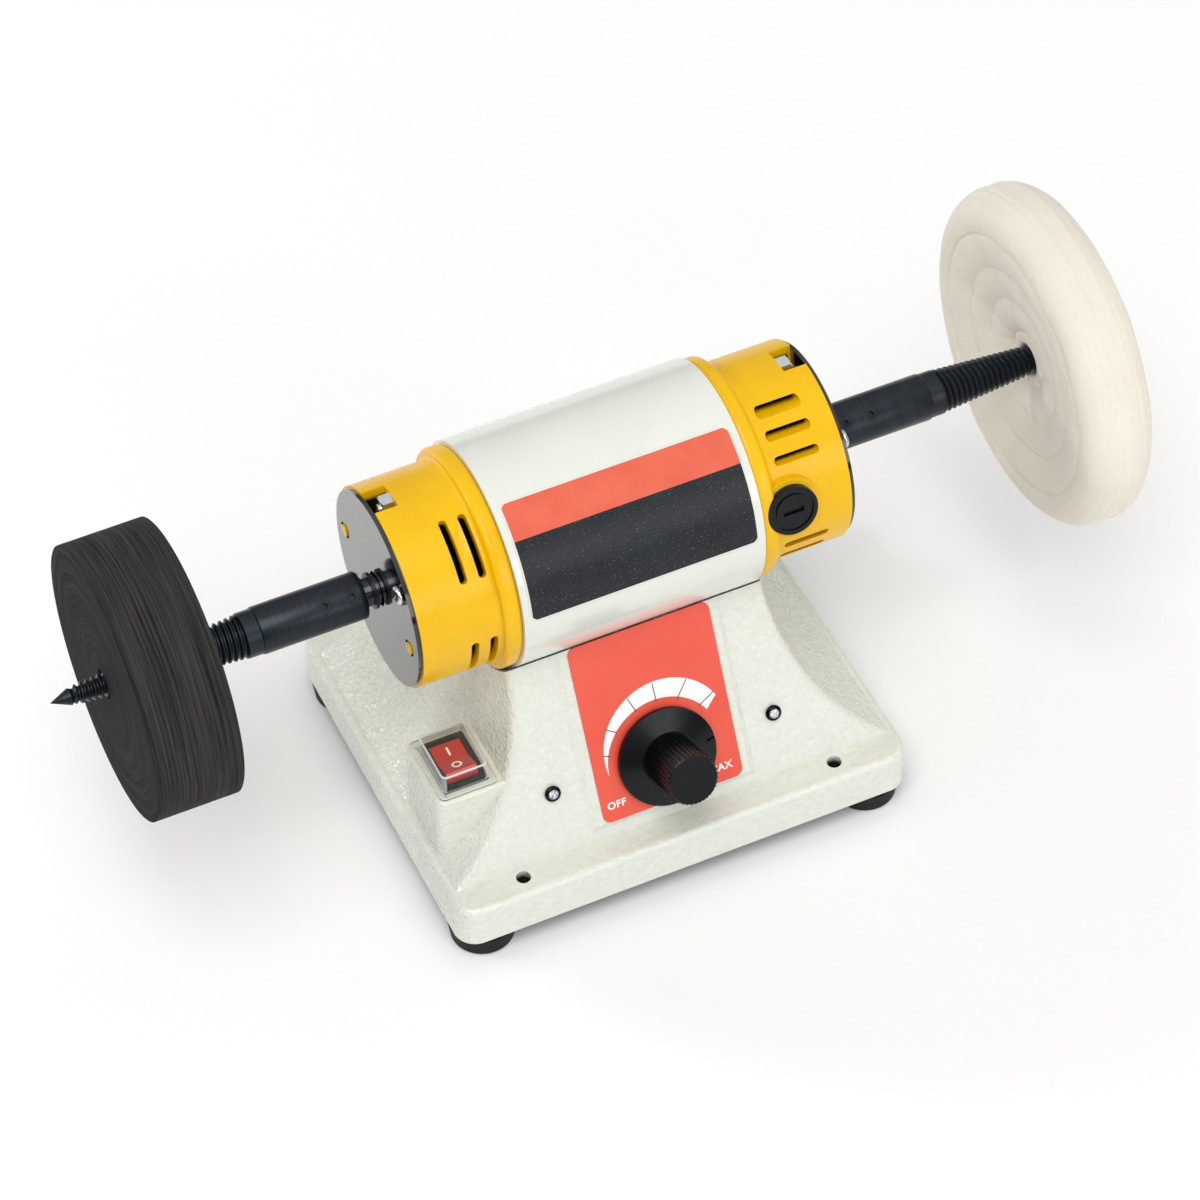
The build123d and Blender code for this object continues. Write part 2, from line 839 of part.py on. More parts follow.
with BuildPart() as tie_nuts:
    for side in (-1, 1):
        places = [(side * y, z) for y, z in rod_places]
        plane = facing_plane(side, notch_floor)
        add(nut_set(plane, places, rod_nut_width, rod_nut_height, rod_radius + close_fit))

# Ball bearings, one in each end cap
with BuildPart() as bearing_outer_races:
    for side in (-1, 1):
        with BuildSketch(motor_plane):
            with Locations((side * bearing_middle, bearing_outer_radius - race_thickness / 2)):
                Rectangle(bearing_width, race_thickness)
            with Locations((side * bearing_middle, ball_circle)):
                Circle(ball_radius + groove_gap, mode=Mode.SUBTRACT)
        revolve(axis=shaft_axis)

with BuildPart() as bearing_inner_races:
    for side in (-1, 1):
        with BuildSketch(motor_plane):
            with Locations((side * bearing_middle, shaft_radius + close_fit + race_thickness / 2)):
                Rectangle(bearing_width, race_thickness)
            with Locations((side * bearing_middle, ball_circle)):
                Circle(ball_radius + groove_gap, mode=Mode.SUBTRACT)
        revolve(axis=shaft_axis)

with BuildPart() as bearing_balls:
    for side in (-1, 1):
        for place in range(ball_count):
            with Locations(radial_at(side * bearing_middle, 360 * place / ball_count, ball_circle)):
                Sphere(ball_radius)

# Brush gear: a holder, brush, spring and screw cap on each side of the commutator
brush_inner = commutator_radius + brush_face_gap
brush_outer = holder_top - brush_cap_nub - spring_length

with BuildPart() as brush_holders:
    for angle in brush_turns:
        with BuildSketch(radial_at(brush_station, angle, brush_boss_inner)):
            Circle(brush_holder_radius)
            Rectangle(brush_length + 2 * close_fit, brush_width + 2 * close_fit, mode=Mode.SUBTRACT)
        extrude(amount=holder_top - brush_boss_inner)

with BuildPart() as carbon_brushes:
    for angle in brush_turns:
        with BuildSketch(radial_at(brush_station, angle, brush_inner)):
            Rectangle(brush_length, brush_width)
        extrude(amount=brush_outer - brush_inner)

with BuildPart() as brush_springs:
    for angle in brush_turns:
        with BuildSketch(radial_at(brush_station, angle, brush_outer)):
            Circle(spring_radius)
            Circle(spring_radius - spring_wire, mode=Mode.SUBTRACT)
        extrude(amount=spring_length)

with BuildPart() as brush_caps:
    for angle in brush_turns:
        with BuildSketch(radial_at(brush_station, angle, holder_top)):
            Circle(brush_holder_radius)
        extrude(amount=brush_cap_stem)
        with BuildSketch(radial_at(brush_station, angle, holder_top)):
            Circle(spring_radius)
        extrude(amount=-brush_cap_nub)
        with BuildSketch(radial_at(brush_station, angle, brush_seat)):
            Circle(brush_cap_radius)
        extrude(amount=brush_cap_height)
        cap_face = radial_at(brush_station, angle, brush_seat + brush_cap_height)
        with BuildSketch(cap_face):
            Circle(brush_cap_radius - brush_cap_rim)
            Circle(brush_cap_radius - brush_cap_rim - brush_cap_ring, mode=Mode.SUBTRACT)
        extrude(amount=-brush_cap_ring_depth, mode=Mode.SUBTRACT)
        with BuildSketch(cap_face):
            Rectangle(brush_cap_slot_length, brush_cap_slot_width)
        extrude(amount=-brush_cap_slot_depth, mode=Mode.SUBTRACT)

# Shaft, with a shoulder between the bearings and a ring groove outside each end plate
groove_start = plate_face + ring_offset - close_fit
groove_end = plate_face + ring_offset + ring_width + close_fit
shaft_half = [
    (bearing_start - close_fit, shoulder_radius),
    (bearing_start - close_fit, shaft_radius),
    (groove_start, shaft_radius),
    (groove_start, shaft_radius - ring_groove),
    (groove_end, shaft_radius - ring_groove),
    (groove_end, shaft_radius),
    (shaft_end, shaft_radius),
    (shaft_end, 0),
]
with BuildPart() as motor_shaft:
    with BuildSketch(motor_plane):
        with BuildLine():
            Polyline(*[(-x, radius) for x, radius in reversed(shaft_half)], *shaft_half, close=True)
        make_face()
    revolve(axis=shaft_axis)

with BuildPart() as retaining_rings:
    for side in (-1, 1):
        with BuildSketch(section_at(side * (plate_face + ring_offset))):
            Circle(ring_radius)
            Circle(shaft_radius - ring_groove + close_fit, mode=Mode.SUBTRACT)
            with Locations((0, -ring_radius)):
                Rectangle(ring_opening, 2 * ring_radius - shaft_radius, mode=Mode.SUBTRACT)
        extrude(amount=side * ring_width)

# Armature, commutator and fan on the shaft
with BuildPart() as armature_core:
    with BuildSketch(section_at(-core_length / 2)):
        Circle(armature_radius)
        Circle(shoulder_radius + close_fit, mode=Mode.SUBTRACT)
        with PolarLocations(armature_radius, core_slots):
            Rectangle(2 * core_slot_depth, core_slot_opening, mode=Mode.SUBTRACT)
        with PolarLocations(core_slot_circle, core_slots):
            Circle(core_slot_radius, mode=Mode.SUBTRACT)
    extrude(amount=core_length)

winding_outer = armature_radius - winding_outer_step
winding_middle = (core_length + winding_overhang) / 2
with BuildPart() as armature_windings:
    for side in (-1, 1):
        with BuildSketch(motor_plane):
            with Locations((side * winding_middle, (winding_inner + winding_outer) / 2)):
                RectangleRounded(winding_overhang, winding_outer - winding_inner, winding_round)
        revolve(axis=shaft_axis)

commutator_start = brush_station - commutator_length / 2
with BuildPart() as commutator:
    with BuildSketch(section_at(commutator_start)):
        Circle(commutator_radius)
        with PolarLocations(commutator_radius, commutator_bars):
            Rectangle(2 * bar_groove_depth, bar_gap, mode=Mode.SUBTRACT)
        Circle(shoulder_radius + close_fit, mode=Mode.SUBTRACT)
    extrude(amount=commutator_length)
    with BuildSketch(section_at(commutator_start)):
        Circle(riser_radius)
        Circle(shoulder_radius + close_fit, mode=Mode.SUBTRACT)
    extrude(amount=-riser_width)

fan_start = -(tube_end + fan_inset)
with BuildPart() as cooling_fan:
    with BuildSketch(section_at(fan_start)):
        Circle(fan_radius)
        Circle(shoulder_radius + close_fit, mode=Mode.SUBTRACT)
    extrude(amount=-fan_disc_thickness)
    with BuildSketch(section_at(fan_start - fan_disc_thickness)):
        with PolarLocations((shoulder_radius + fan_radius) / 2, fan_blades):
            Rectangle(fan_radius - shoulder_radius, fan_blade_thickness)
        Circle(fan_hub_radius)
        Circle(shoulder_radius + close_fit, mode=Mode.SUBTRACT)
    extrude(amount=-fan_blade_width)


def spindle(side):
    """Taper spindle with its sleeve over the shaft's end, its thread drawn as the cone of its crests."""
    bore = shaft_radius + close_fit
    outline = [
        (sleeve_start, bore),
        (sleeve_start, sleeve_radius - sleeve_chamfer),
        (sleeve_start + sleeve_chamfer, sleeve_radius),
        (sleeve_end - sleeve_chamfer, sleeve_radius),
        (sleeve_end, sleeve_radius - sleeve_chamfer),
        (sleeve_end, neck_radius),
        (taper_start, neck_radius),
        (taper_start, taper_start_radius),
        (taper_end, taper_end_radius),
        (tip_end, 0),
        (spindle_bore_end, 0),
        (spindle_bore_end, bore),
    ]
    with BuildPart() as body:
        with BuildSketch(motor_plane):
            with BuildLine():
                Polyline(*[(side * x, radius) for x, radius in outline], close=True)
            make_face()
        revolve(axis=shaft_axis)
        for offset in set_screw_offsets:
            with BuildSketch(radial_at(side * (sleeve_start + offset), set_screw_angle, shaft_radius)):
                Circle(set_screw_radius + close_fit)
            extrude(amount=sleeve_radius, mode=Mode.SUBTRACT)
    return body.part


with BuildPart() as spindle_left:
    add(spindle(-1))

with BuildPart() as spindle_right:
    add(spindle(1))

with BuildPart() as set_screws:
    for side in (-1, 1):
        for offset in set_screw_offsets:
            screw_x = side * (sleeve_start + offset)
            with BuildSketch(radial_at(screw_x, set_screw_angle, shaft_radius)):
                Circle(set_screw_radius)
            extrude(amount=sleeve_radius - set_screw_sink - shaft_radius)
            with BuildSketch(radial_at(screw_x, set_screw_angle, sleeve_radius - set_screw_sink)):
                RegularPolygon(set_screw_key / 2, 6, major_radius=False)
            extrude(amount=-set_screw_key_depth, mode=Mode.SUBTRACT)

# Abrasive wheel and cotton buff, each turned on to its taper
wheel_near = taper_start + wheel_seat
wheel_far = wheel_near + wheel_thickness
with BuildPart() as abrasive_wheel:
    with BuildSketch(motor_plane):
        with BuildLine():
            Polyline(
                (-wheel_near, taper_radius(wheel_near) + wheel_fit),
                (-wheel_near, wheel_radius - wheel_chamfer),
                (-wheel_near - wheel_chamfer, wheel_radius),
                (-wheel_far + wheel_chamfer, wheel_radius),
                (-wheel_far, wheel_radius - wheel_chamfer),
                (-wheel_far, taper_radius(wheel_far) + wheel_fit),
                close=True,
            )
        make_face()
    revolve(axis=shaft_axis)

buff_near = taper_start + buff_seat
buff_far = buff_near + buff_thickness
with BuildPart() as cotton_buff:
    with BuildSketch(motor_plane) as buff_profile:
        with BuildLine():
            Polyline(
                (buff_near + buff_dish, taper_radius(buff_near + buff_dish) + wheel_fit),
                (buff_near, buff_dish_radius),
                (buff_near, buff_radius),
                (buff_far, buff_radius),
                (buff_far, buff_dish_radius),
                (buff_far - buff_dish, taper_radius(buff_far - buff_dish) + wheel_fit),
                close=True,
            )
        make_face()
        fillet(buff_profile.vertices().group_by(Axis.Y)[-1], buff_rim_round)
    revolve(axis=shaft_axis)

# Dial panel on the pad, clear of the motor at its top
with BuildPart() as dial_panel:
    with BuildSketch(front_plane.offset(pad_rise)):
        panel_top = slope_at(panel_face, tube_radius + panel_top_gap)
        with Locations((0, (panel_bottom + panel_top) / 2)):
            RectangleRounded(panel_width, panel_top - panel_bottom, panel_corner)
        with Locations((0, face_row)):
            Circle(bushing_radius + bolt_gap, mode=Mode.SUBTRACT)
    extrude(amount=panel_thickness)

# Potentiometer, its bracket behind the cast face, and the front screws that hold the bracket
with BuildPart() as front_bracket:
    with BuildSketch(face_point(-casting_wall)):
        Rectangle(bracket_length, bracket_width)
        Circle(bushing_radius + bolt_gap, mode=Mode.SUBTRACT)
        with Locations(*front_places):
            Circle(front_screw_radius + bolt_gap, mode=Mode.SUBTRACT)
    extrude(amount=-bracket_thickness)

with BuildPart() as front_screws:
    add(
        screw_set(
            face_point(0),
            front_places,
            front_screw_head_radius,
            front_screw_head_height,
            front_screw_radius,
            front_nut_height + front_screw_proud - bracket_back,
        )
    )

with BuildPart() as front_nuts:
    add(
        nut_set(
            face_point(bracket_back - front_nut_height),
            front_places,
            front_nut_width,
            front_nut_height,
            front_screw_radius + close_fit,
        )
    )

with BuildPart() as potentiometer:
    with BuildSketch(face_point(bracket_back)):
        Circle(pot_radius)
    extrude(amount=-pot_depth)
    with BuildSketch(face_point(bracket_back)):
        Circle(bushing_radius)
    extrude(amount=panel_face + bushing_proud - bracket_back)
    with BuildSketch(face_point(bracket_back - pot_shaft_inside - free_gap)):
        Circle(pot_shaft_radius + running_fit)
    extrude(amount=panel_face + bushing_proud - bracket_back + 2 * pot_shaft_inside, mode=Mode.SUBTRACT)

with BuildPart() as pot_nut:
    add(nut_set(face_point(panel_face), [(0, 0)], pot_nut_width, pot_nut_height, bushing_radius + close_fit))

with BuildPart() as pot_shaft:
    with BuildSketch(face_point(bracket_back - pot_shaft_inside)):
        Circle(pot_shaft_radius)
    extrude(amount=panel_face + pot_shaft_proud - bracket_back + pot_shaft_inside)

# Speed knob: skirt, ribbed grip and pointer
knob_base = panel_face + knob_gap
skirt_top = skirt_rim + skirt_rise
bore_top = pot_shaft_proud - knob_gap + free_gap
knob_plane = face_point(knob_base)
knob_slice = Plane(origin=knob_plane.origin, x_dir=knob_plane.x_dir, z_dir=-knob_plane.y_dir)
with BuildPart() as speed_knob:
    with BuildSketch(knob_slice):
        with BuildLine():
            Polyline(
                (skirt_hollow_radius, 0),
                (skirt_radius - skirt_edge_round, 0),
                (skirt_radius, skirt_edge_round),
                (skirt_radius, skirt_rim),
                (skirt_top_radius, skirt_top),
                (grip_radius, skirt_top),
                (grip_radius, knob_height - grip_edge_round),
                (grip_radius - grip_edge_round, knob_height),
                (0, knob_height),
                (0, bore_top),
                (pot_shaft_radius + close_fit, bore_top),
                (pot_shaft_radius + close_fit, skirt_hollow_height),
                (skirt_hollow_radius, skirt_hollow_height),
                close=True,
            )
        make_face()
    revolve(axis=Axis(knob_plane.origin, knob_plane.z_dir))
    with BuildSketch(face_point(knob_base + skirt_top)):
        with PolarLocations(grip_radius, grip_ribs):
            Circle(grip_rib_radius)
    extrude(amount=knob_height, mode=Mode.SUBTRACT)
    with BuildSketch(face_point(knob_base + skirt_rim - pointer_depth)):
        with PolarLocations(skirt_radius, 1, start_angle=pointer_angle):
            Rectangle(2 * pointer_length, pointer_width)
    extrude(amount=skirt_rise + pointer_depth, mode=Mode.SUBTRACT)

# Rocker switch in the boss, under a clear cover
rocker_tip_radius = sqrt(rocker_half_length**2 + rocker_tip_height**2)
rocker_heel_length = sqrt(rocker_tip_radius**2 - rocker_heel**2)
switch_floor = boss_top - switch_body_depth
rocker_plane = Plane(
    origin=(switch_x, switch_y, pivot_z),
    x_dir=(0, cos(radians(rocker_tilt)), -sin(radians(rocker_tilt))),
    z_dir=(1, 0, 0),
)
with BuildPart() as switch_body:
    with BuildSketch(Plane.XY.offset(switch_floor)):
        with Locations((switch_x, switch_y)):
            Rectangle(switch_body_width, switch_body_length)
    extrude(amount=switch_body_depth)
    with BuildSketch(Plane.XY.offset(boss_top)):
        with Locations((switch_x, switch_y)):
            RectangleRounded(bezel_width, bezel_length, bezel_corner)
    extrude(amount=bezel_height)
    with BuildSketch(Plane.XY.offset(pivot_z - rocker_depth - pocket_clearance)):
        with Locations((switch_x, switch_y)):
            Rectangle(rocker_width + 2 * rocker_gap, 2 * (rocker_tip_radius + rocker_gap))
    extrude(amount=rocker_depth + pocket_clearance + pivot_below_bezel, mode=Mode.SUBTRACT)
    with BuildSketch(rocker_plane):
        Circle(pivot_pin_radius + running_fit)
    extrude(amount=rocker_width / 2 + pivot_pin_bite + free_gap, both=True, mode=Mode.SUBTRACT)
    with BuildSketch(Plane.XY.offset(switch_floor)):
        with Locations((switch_x, switch_y)):
            with GridLocations(0, terminal_pitch, 1, 2):
                Rectangle(terminal_width, terminal_thickness)
    extrude(amount=-terminal_length)

with BuildPart() as rocker:
    with BuildSketch(rocker_plane):
        with BuildLine():
            RadiusArc(
                (rocker_heel_length, -rocker_heel),
                (rocker_half_length, rocker_tip_height),
                -rocker_tip_radius,
            )
            Polyline(
                (rocker_half_length, rocker_tip_height),
                (0, rocker_tip_height - rocker_dip),
                (-rocker_half_length, rocker_tip_height),
            )
            RadiusArc(
                (-rocker_half_length, rocker_tip_height),
                (-rocker_heel_length, -rocker_heel),
                -rocker_tip_radius,
            )
            Polyline(
                (-rocker_heel_length, -rocker_heel),
                (-rocker_foot, -rocker_depth),
                (rocker_foot, -rocker_depth),
                (rocker_heel_length, -rocker_heel),
            )
        make_face()
    extrude(amount=rocker_width / 2, both=True)
    with BuildSketch(rocker_plane):
        Circle(pivot_pin_radius)
    extrude(amount=rocker_width / 2 + pivot_pin_bite, both=True)

with BuildPart() as switch_cover:
    with BuildSketch(Plane.XY.offset(boss_top)):
        with Locations((switch_x, switch_y)):
            RectangleRounded(cover_width, cover_length, cover_corner)
    with BuildSketch(Plane.XY.offset(boss_top + cover_height)):
        with Locations((switch_x, switch_y)):
            RectangleRounded(cover_top_width, cover_top_length, cover_corner)
    loft()
    with BuildSketch(Plane.XY.offset(boss_top)):
        with Locations((switch_x, switch_y)):
            RectangleRounded(cover_flange_width, cover_flange_length, cover_corner)
    extrude(amount=cover_flange_thickness)
    with BuildSketch(Plane.XY.offset(boss_top)):
        with Locations((switch_x, switch_y)):
            RectangleRounded(
                cover_width - 2 * cover_wall, cover_length - 2 * cover_wall, cover_corner - cover_wall
            )
    with BuildSketch(Plane.XY.offset(boss_top + cover_height - cover_wall)):
        with Locations((switch_x, switch_y)):
            RectangleRounded(
                cover_top_width - 2 * cover_wall, cover_top_length - 2 * cover_wall, cover_corner - cover_wall
            )
    loft(mode=Mode.SUBTRACT)

# Blank rating label wrapped on the front of the tube
with BuildPart() as rating_label:
    with BuildSketch(slice_at(label_start)):
        with Locations((0, tube_radius + close_fit + label_thickness / 2)):
            Rectangle(label_length, label_thickness)
    revolve(axis=shaft_axis, revolution_arc=label_end - label_start)
    fillet(
        rating_label.edges().filter_by(lambda edge: edge.length < 2 * label_thickness), label_corner
    )

# Control board on the bottom plate, and the cord's inlet bush
with BuildPart() as board_standoffs:
    with BuildSketch(Plane.XY.offset(casting_bottom)):
        with Locations(*board_places):
            Circle(standoff_radius)
            Circle(board_screw_radius + close_fit, mode=Mode.SUBTRACT)
    extrude(amount=standoff_height)

with BuildPart() as control_board:
    with BuildSketch(Plane.XY.offset(board_bottom)):
        with Locations((0, board_shift)):
            Rectangle(board_length, board_width)
        with Locations(*board_places):
            Circle(board_screw_radius + bolt_gap, mode=Mode.SUBTRACT)
    extrude(amount=board_thickness)
    with BuildSketch(Plane.XY.offset(board_bottom + board_thickness)):
        with Locations((sink_x, board_shift)):
            Rectangle(sink_length, sink_width)
        with Locations((sink_x, board_shift - sink_back)):
            with GridLocations(sink_length / sink_fins, 0, sink_fins - 1, 1):
                Rectangle(sink_fin_gap, sink_width, mode=Mode.SUBTRACT)
    extrude(amount=sink_height)
    with BuildSketch(Plane.XY.offset(board_bottom + board_thickness)):
        with Locations((capacitor_x, board_shift)):
            Circle(capacitor_radius)
    extrude(amount=capacitor_height)

with BuildPart() as board_screws:
    add(
        screw_set(
            Plane.XY.offset(board_bottom + board_thickness),
            board_places,
            board_screw_head_radius,
            board_screw_head_height,
            board_screw_radius,
            board_screw_length,
        )
    )

with BuildPart() as cord_inlet:
    with BuildSketch(inlet_plane):
        Circle(inlet_radius)
    extrude(amount=-casting_wall)
    with BuildSketch(inlet_plane):
        Circle(inlet_flange_radius)
    extrude(amount=-inlet_flange)
    with BuildSketch(inlet_plane):
        Circle(inlet_bore)
    extrude(amount=-casting_wall, mode=Mode.SUBTRACT)

pieces = {
    "base_casting": base_casting,
    "bottom_plate": bottom_plate,
    "rubber_feet": rubber_feet,
    "foot_screws": foot_screws,
    "motor_tube": motor_tube,
    "motor_bolts": motor_bolts,
    "field_magnets": field_magnets,
    "end_cap_left": end_cap_left,
    "end_cap_right": end_cap_right,
    "end_plate_left": end_plate_left,
    "end_plate_right": end_plate_right,
    "plate_screws": plate_screws,
    "tie_rods": tie_rods,
    "tie_nuts": tie_nuts,
    "bearing_outer_races": bearing_outer_races,
    "bearing_inner_races": bearing_inner_races,
    "bearing_balls": bearing_balls,
    "brush_holders": brush_holders,
    "carbon_brushes": carbon_brushes,
    "brush_springs": brush_springs,
    "brush_caps": brush_caps,
    "motor_shaft": motor_shaft,
    "retaining_rings": retaining_rings,
    "armature_core": armature_core,
    "armature_windings": armature_windings,
    "commutator": commutator,
    "cooling_fan": cooling_fan,
    "spindle_left": spindle_left,
    "spindle_right": spindle_right,
    "set_screws": set_screws,
    "abrasive_wheel": abrasive_wheel,
    "cotton_buff": cotton_buff,
    "dial_panel": dial_panel,
    "front_bracket": front_bracket,
    "front_screws": front_screws,
    "front_nuts": front_nuts,
    "potentiometer": potentiometer,
    "pot_nut": pot_nut,
    "pot_shaft": pot_shaft,
    "speed_knob": speed_knob,
    "switch_body": switch_body,
    "rocker": rocker,
    "switch_cover": switch_cover,
    "rating_label": rating_label,
    "board_standoffs": board_standoffs,
    "control_board": control_board,
    "board_screws": board_screws,
    "cord_inlet": cord_inlet,
}
os.makedirs("parts", exist_ok=True)
for name, piece in pieces.items():
    piece.part.label = name
    export_step(piece.part, f"parts/{name}.step")
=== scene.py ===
"""Looks of the bench buffer: finishes on its solids, and finer threads, wheels, screws, cover and print."""
import json
import math
import random

import bpy
from mathutils import Matrix, Vector


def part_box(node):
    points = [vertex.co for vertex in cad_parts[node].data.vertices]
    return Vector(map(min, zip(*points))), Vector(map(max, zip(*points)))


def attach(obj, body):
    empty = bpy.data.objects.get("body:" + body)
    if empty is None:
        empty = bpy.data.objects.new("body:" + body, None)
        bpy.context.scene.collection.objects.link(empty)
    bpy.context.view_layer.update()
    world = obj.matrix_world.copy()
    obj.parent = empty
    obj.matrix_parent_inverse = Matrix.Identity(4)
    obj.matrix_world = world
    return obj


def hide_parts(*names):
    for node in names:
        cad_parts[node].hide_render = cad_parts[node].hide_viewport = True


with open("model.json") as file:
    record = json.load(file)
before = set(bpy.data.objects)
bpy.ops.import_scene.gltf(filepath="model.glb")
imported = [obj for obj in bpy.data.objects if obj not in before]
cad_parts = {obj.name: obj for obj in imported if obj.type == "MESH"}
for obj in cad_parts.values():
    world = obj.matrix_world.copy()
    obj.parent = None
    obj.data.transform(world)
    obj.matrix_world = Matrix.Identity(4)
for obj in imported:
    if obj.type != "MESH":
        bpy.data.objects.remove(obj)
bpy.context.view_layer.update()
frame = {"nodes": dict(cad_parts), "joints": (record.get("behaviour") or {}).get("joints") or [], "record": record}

NODES = frame["nodes"]
JOINTS = {joint["name"]: joint for joint in frame["joints"]}
MOUNTS = {mount["name"]: mount for mount in frame["record"]["mounts"]}
MM = 0.001
chance = random.Random(7)


def span_of(node):
    """A node's lowest and highest corners, each as x, y and z in millimetres."""
    return [[round(value / MM, 4) for value in corner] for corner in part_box(node)]


# Places on the object in millimetres, most of them from the frame
AXIS_Z = round(JOINTS["rotor_spin"]["pos_m"][2] / MM, 4)
FACE_OUT = Vector(JOINTS["knob_turn"]["axis"])
FACE_UP = FACE_OUT.cross(Vector((1, 0, 0)))
FACE_ROW = 23.4
FACE_FOOT = Vector(JOINTS["knob_turn"]["pos_m"]) / MM - FACE_UP * FACE_ROW
PANEL_FACE = 1.7
FRONT_SCREW_X = 41.5
PLATE_FACE = span_of("end_plate_right")[1][0]
COVER_LOW, COVER_HIGH = (Vector(corner) for corner in span_of("switch_cover"))


# Modelling helpers. Sizes are millimetres until a piece is written into its mesh.
def rest():
    """Leave edit mode with nothing selected."""
    if bpy.context.object and bpy.context.object.mode != "OBJECT":
        bpy.ops.object.mode_set(mode="OBJECT")
    bpy.ops.object.select_all(action="DESELECT")


def pick(piece):
    """Select one piece alone and make it active."""
    rest()
    piece.select_set(True)
    bpy.context.view_layer.objects.active = piece


def put(piece, matrix=None):
    """Write a piece's place into its mesh, after an optional extra placing."""
    pick(piece)
    if matrix is not None:
        piece.matrix_world = matrix @ piece.matrix_world
    bpy.ops.object.transform_apply(location=True, rotation=True, scale=True)


def apply_modifiers(piece):
    """Apply every modifier of a piece in order."""
    pick(piece)
    for modifier in list(piece.modifiers):
        bpy.ops.object.modifier_apply(modifier=modifier.name)


def mend(piece, threshold=1e-6):
    """Merge doubles and turn all faces outwards."""
    pick(piece)
    bpy.ops.object.mode_set(mode="EDIT")
    bpy.ops.mesh.select_all(action="SELECT")
    bpy.ops.mesh.remove_doubles(threshold=threshold)
    bpy.ops.mesh.normals_make_consistent(inside=False)
    bpy.ops.object.mode_set(mode="OBJECT")


def carve(piece, cutter, operation="DIFFERENCE"):
    """Cut a piece with another one, which is used up."""
    cut = piece.modifiers.new("cut", "BOOLEAN")
    cut.operation = operation
    cut.solver = "EXACT"
    cut.object = cutter
    apply_modifiers(piece)
    bpy.data.objects.remove(cutter)


def join(pieces, name):
    """Join pieces into the first of them."""
    pick(pieces[0])
    for piece in pieces:
        piece.select_set(True)
    bpy.ops.object.join()
    pieces[0].name = name
    return pieces[0]


def cylinder(radius, low, high, vertices, centre=(0.0, 0.0)):
    """An upright cylinder between two levels."""
    rest()
    place = (centre[0] * MM, centre[1] * MM, (low + high) / 2 * MM)
    bpy.ops.mesh.primitive_cylinder_add(
        vertices=vertices, radius=radius * MM, depth=(high - low) * MM, location=place
    )
    piece = bpy.context.object
    put(piece)
    return piece


def block(size, place=(0.0, 0.0, 0.0), turn=0.0):
    """A block of three sizes about a place, turned about Z."""
    rest()
    middle = [value * MM for value in place]
    bpy.ops.mesh.primitive_cube_add(size=MM, location=middle, rotation=(0, 0, turn), scale=size)
    piece = bpy.context.object
    put(piece)
    return piece


def outline_start(name, x, radius):
    """One loose vertex at a station and a radius, ready to be extruded."""
    rest()
    bpy.ops.mesh.primitive_plane_add(size=MM)
    piece = bpy.context.object
    piece.name = name
    bpy.ops.object.mode_set(mode="EDIT")
    bpy.ops.mesh.select_all(action="SELECT")
    bpy.ops.mesh.merge(type="CENTER")
    bpy.ops.transform.translate(value=(x * MM, 0.0, radius * MM))
    return piece


def outline_draw(points):
    """Extrude the loose end through (x, radius) points."""
    for (x0, r0), (x1, r1) in zip(points, points[1:]):
        step = ((x1 - x0) * MM, 0.0, (r1 - r0) * MM)
        bpy.ops.mesh.extrude_region_move(TRANSFORM_OT_translate={"value": step})


def lathe(name, points, steps=96):
    """Spin an outline of (x, radius) points about the X axis."""
    piece = outline_start(name, *points[0])
    outline_draw(points)
    bpy.ops.mesh.select_all(action="SELECT")
    bpy.ops.mesh.spin(steps=steps, angle=math.tau, center=(0, 0, 0), axis=(1, 0, 0))
    bpy.ops.object.mode_set(mode="OBJECT")
    mend(piece, 2e-6)
    return piece


def to_shaft(piece):
    """Lift a piece that was modelled about X on to the shaft's axis."""
    put(piece, Matrix.Translation((0, 0, AXIS_Z * MM)))


def round_shaft(x, radius, degrees):
    """A point beside the shaft, by its station, radius and angle from the back."""
    turn = math.radians(degrees)
    return (x, radius * math.cos(turn), AXIS_Z + radius * math.sin(turn))


def frame_matrix(origin, x_dir, z_dir):
    """Placing whose X and Z follow two directions, with its origin in millimetres."""
    x_axis = Vector(x_dir).normalized()
    z_axis = Vector(z_dir).normalized()
    y_axis = z_axis.cross(x_axis)
    turn = Matrix((x_axis, y_axis, z_axis)).transposed().to_4x4()
    return Matrix.Translation(Vector(origin) * MM) @ turn


def face_matrix(x, up, out):
    """Placing on the dial face: across, up its slope and out of it."""
    origin = FACE_FOOT + Vector((x, 0, 0)) + FACE_UP * up + FACE_OUT * out
    return frame_matrix(origin, (1, 0, 0), FACE_OUT)


def smooth(piece, degrees):
    """Shade smooth, with edges sharper than an angle kept."""
    pick(piece)
    bpy.ops.object.shade_smooth_by_angle(angle=math.radians(degrees))


def seat(piece, body, slot, finish_name, *nodes):
    """Give a finished piece its finish and body, and hide the solids it stands for; the slot is not used."""
    piece.data.materials.clear()
    piece.data.materials.append(FINISH[finish_name])
    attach(piece, body)
    if nodes:
        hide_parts(*nodes)


# Node sheets
def rgb(red, green, blue):
    """A colour given as it looks on screen, 0 to 255, as a linear one."""
    def linear(value):
        value /= 255.0
        return value / 12.92 if value <= 0.04045 else ((value + 0.055) / 1.055) ** 2.4
    return (linear(red), linear(green), linear(blue), 1.0)


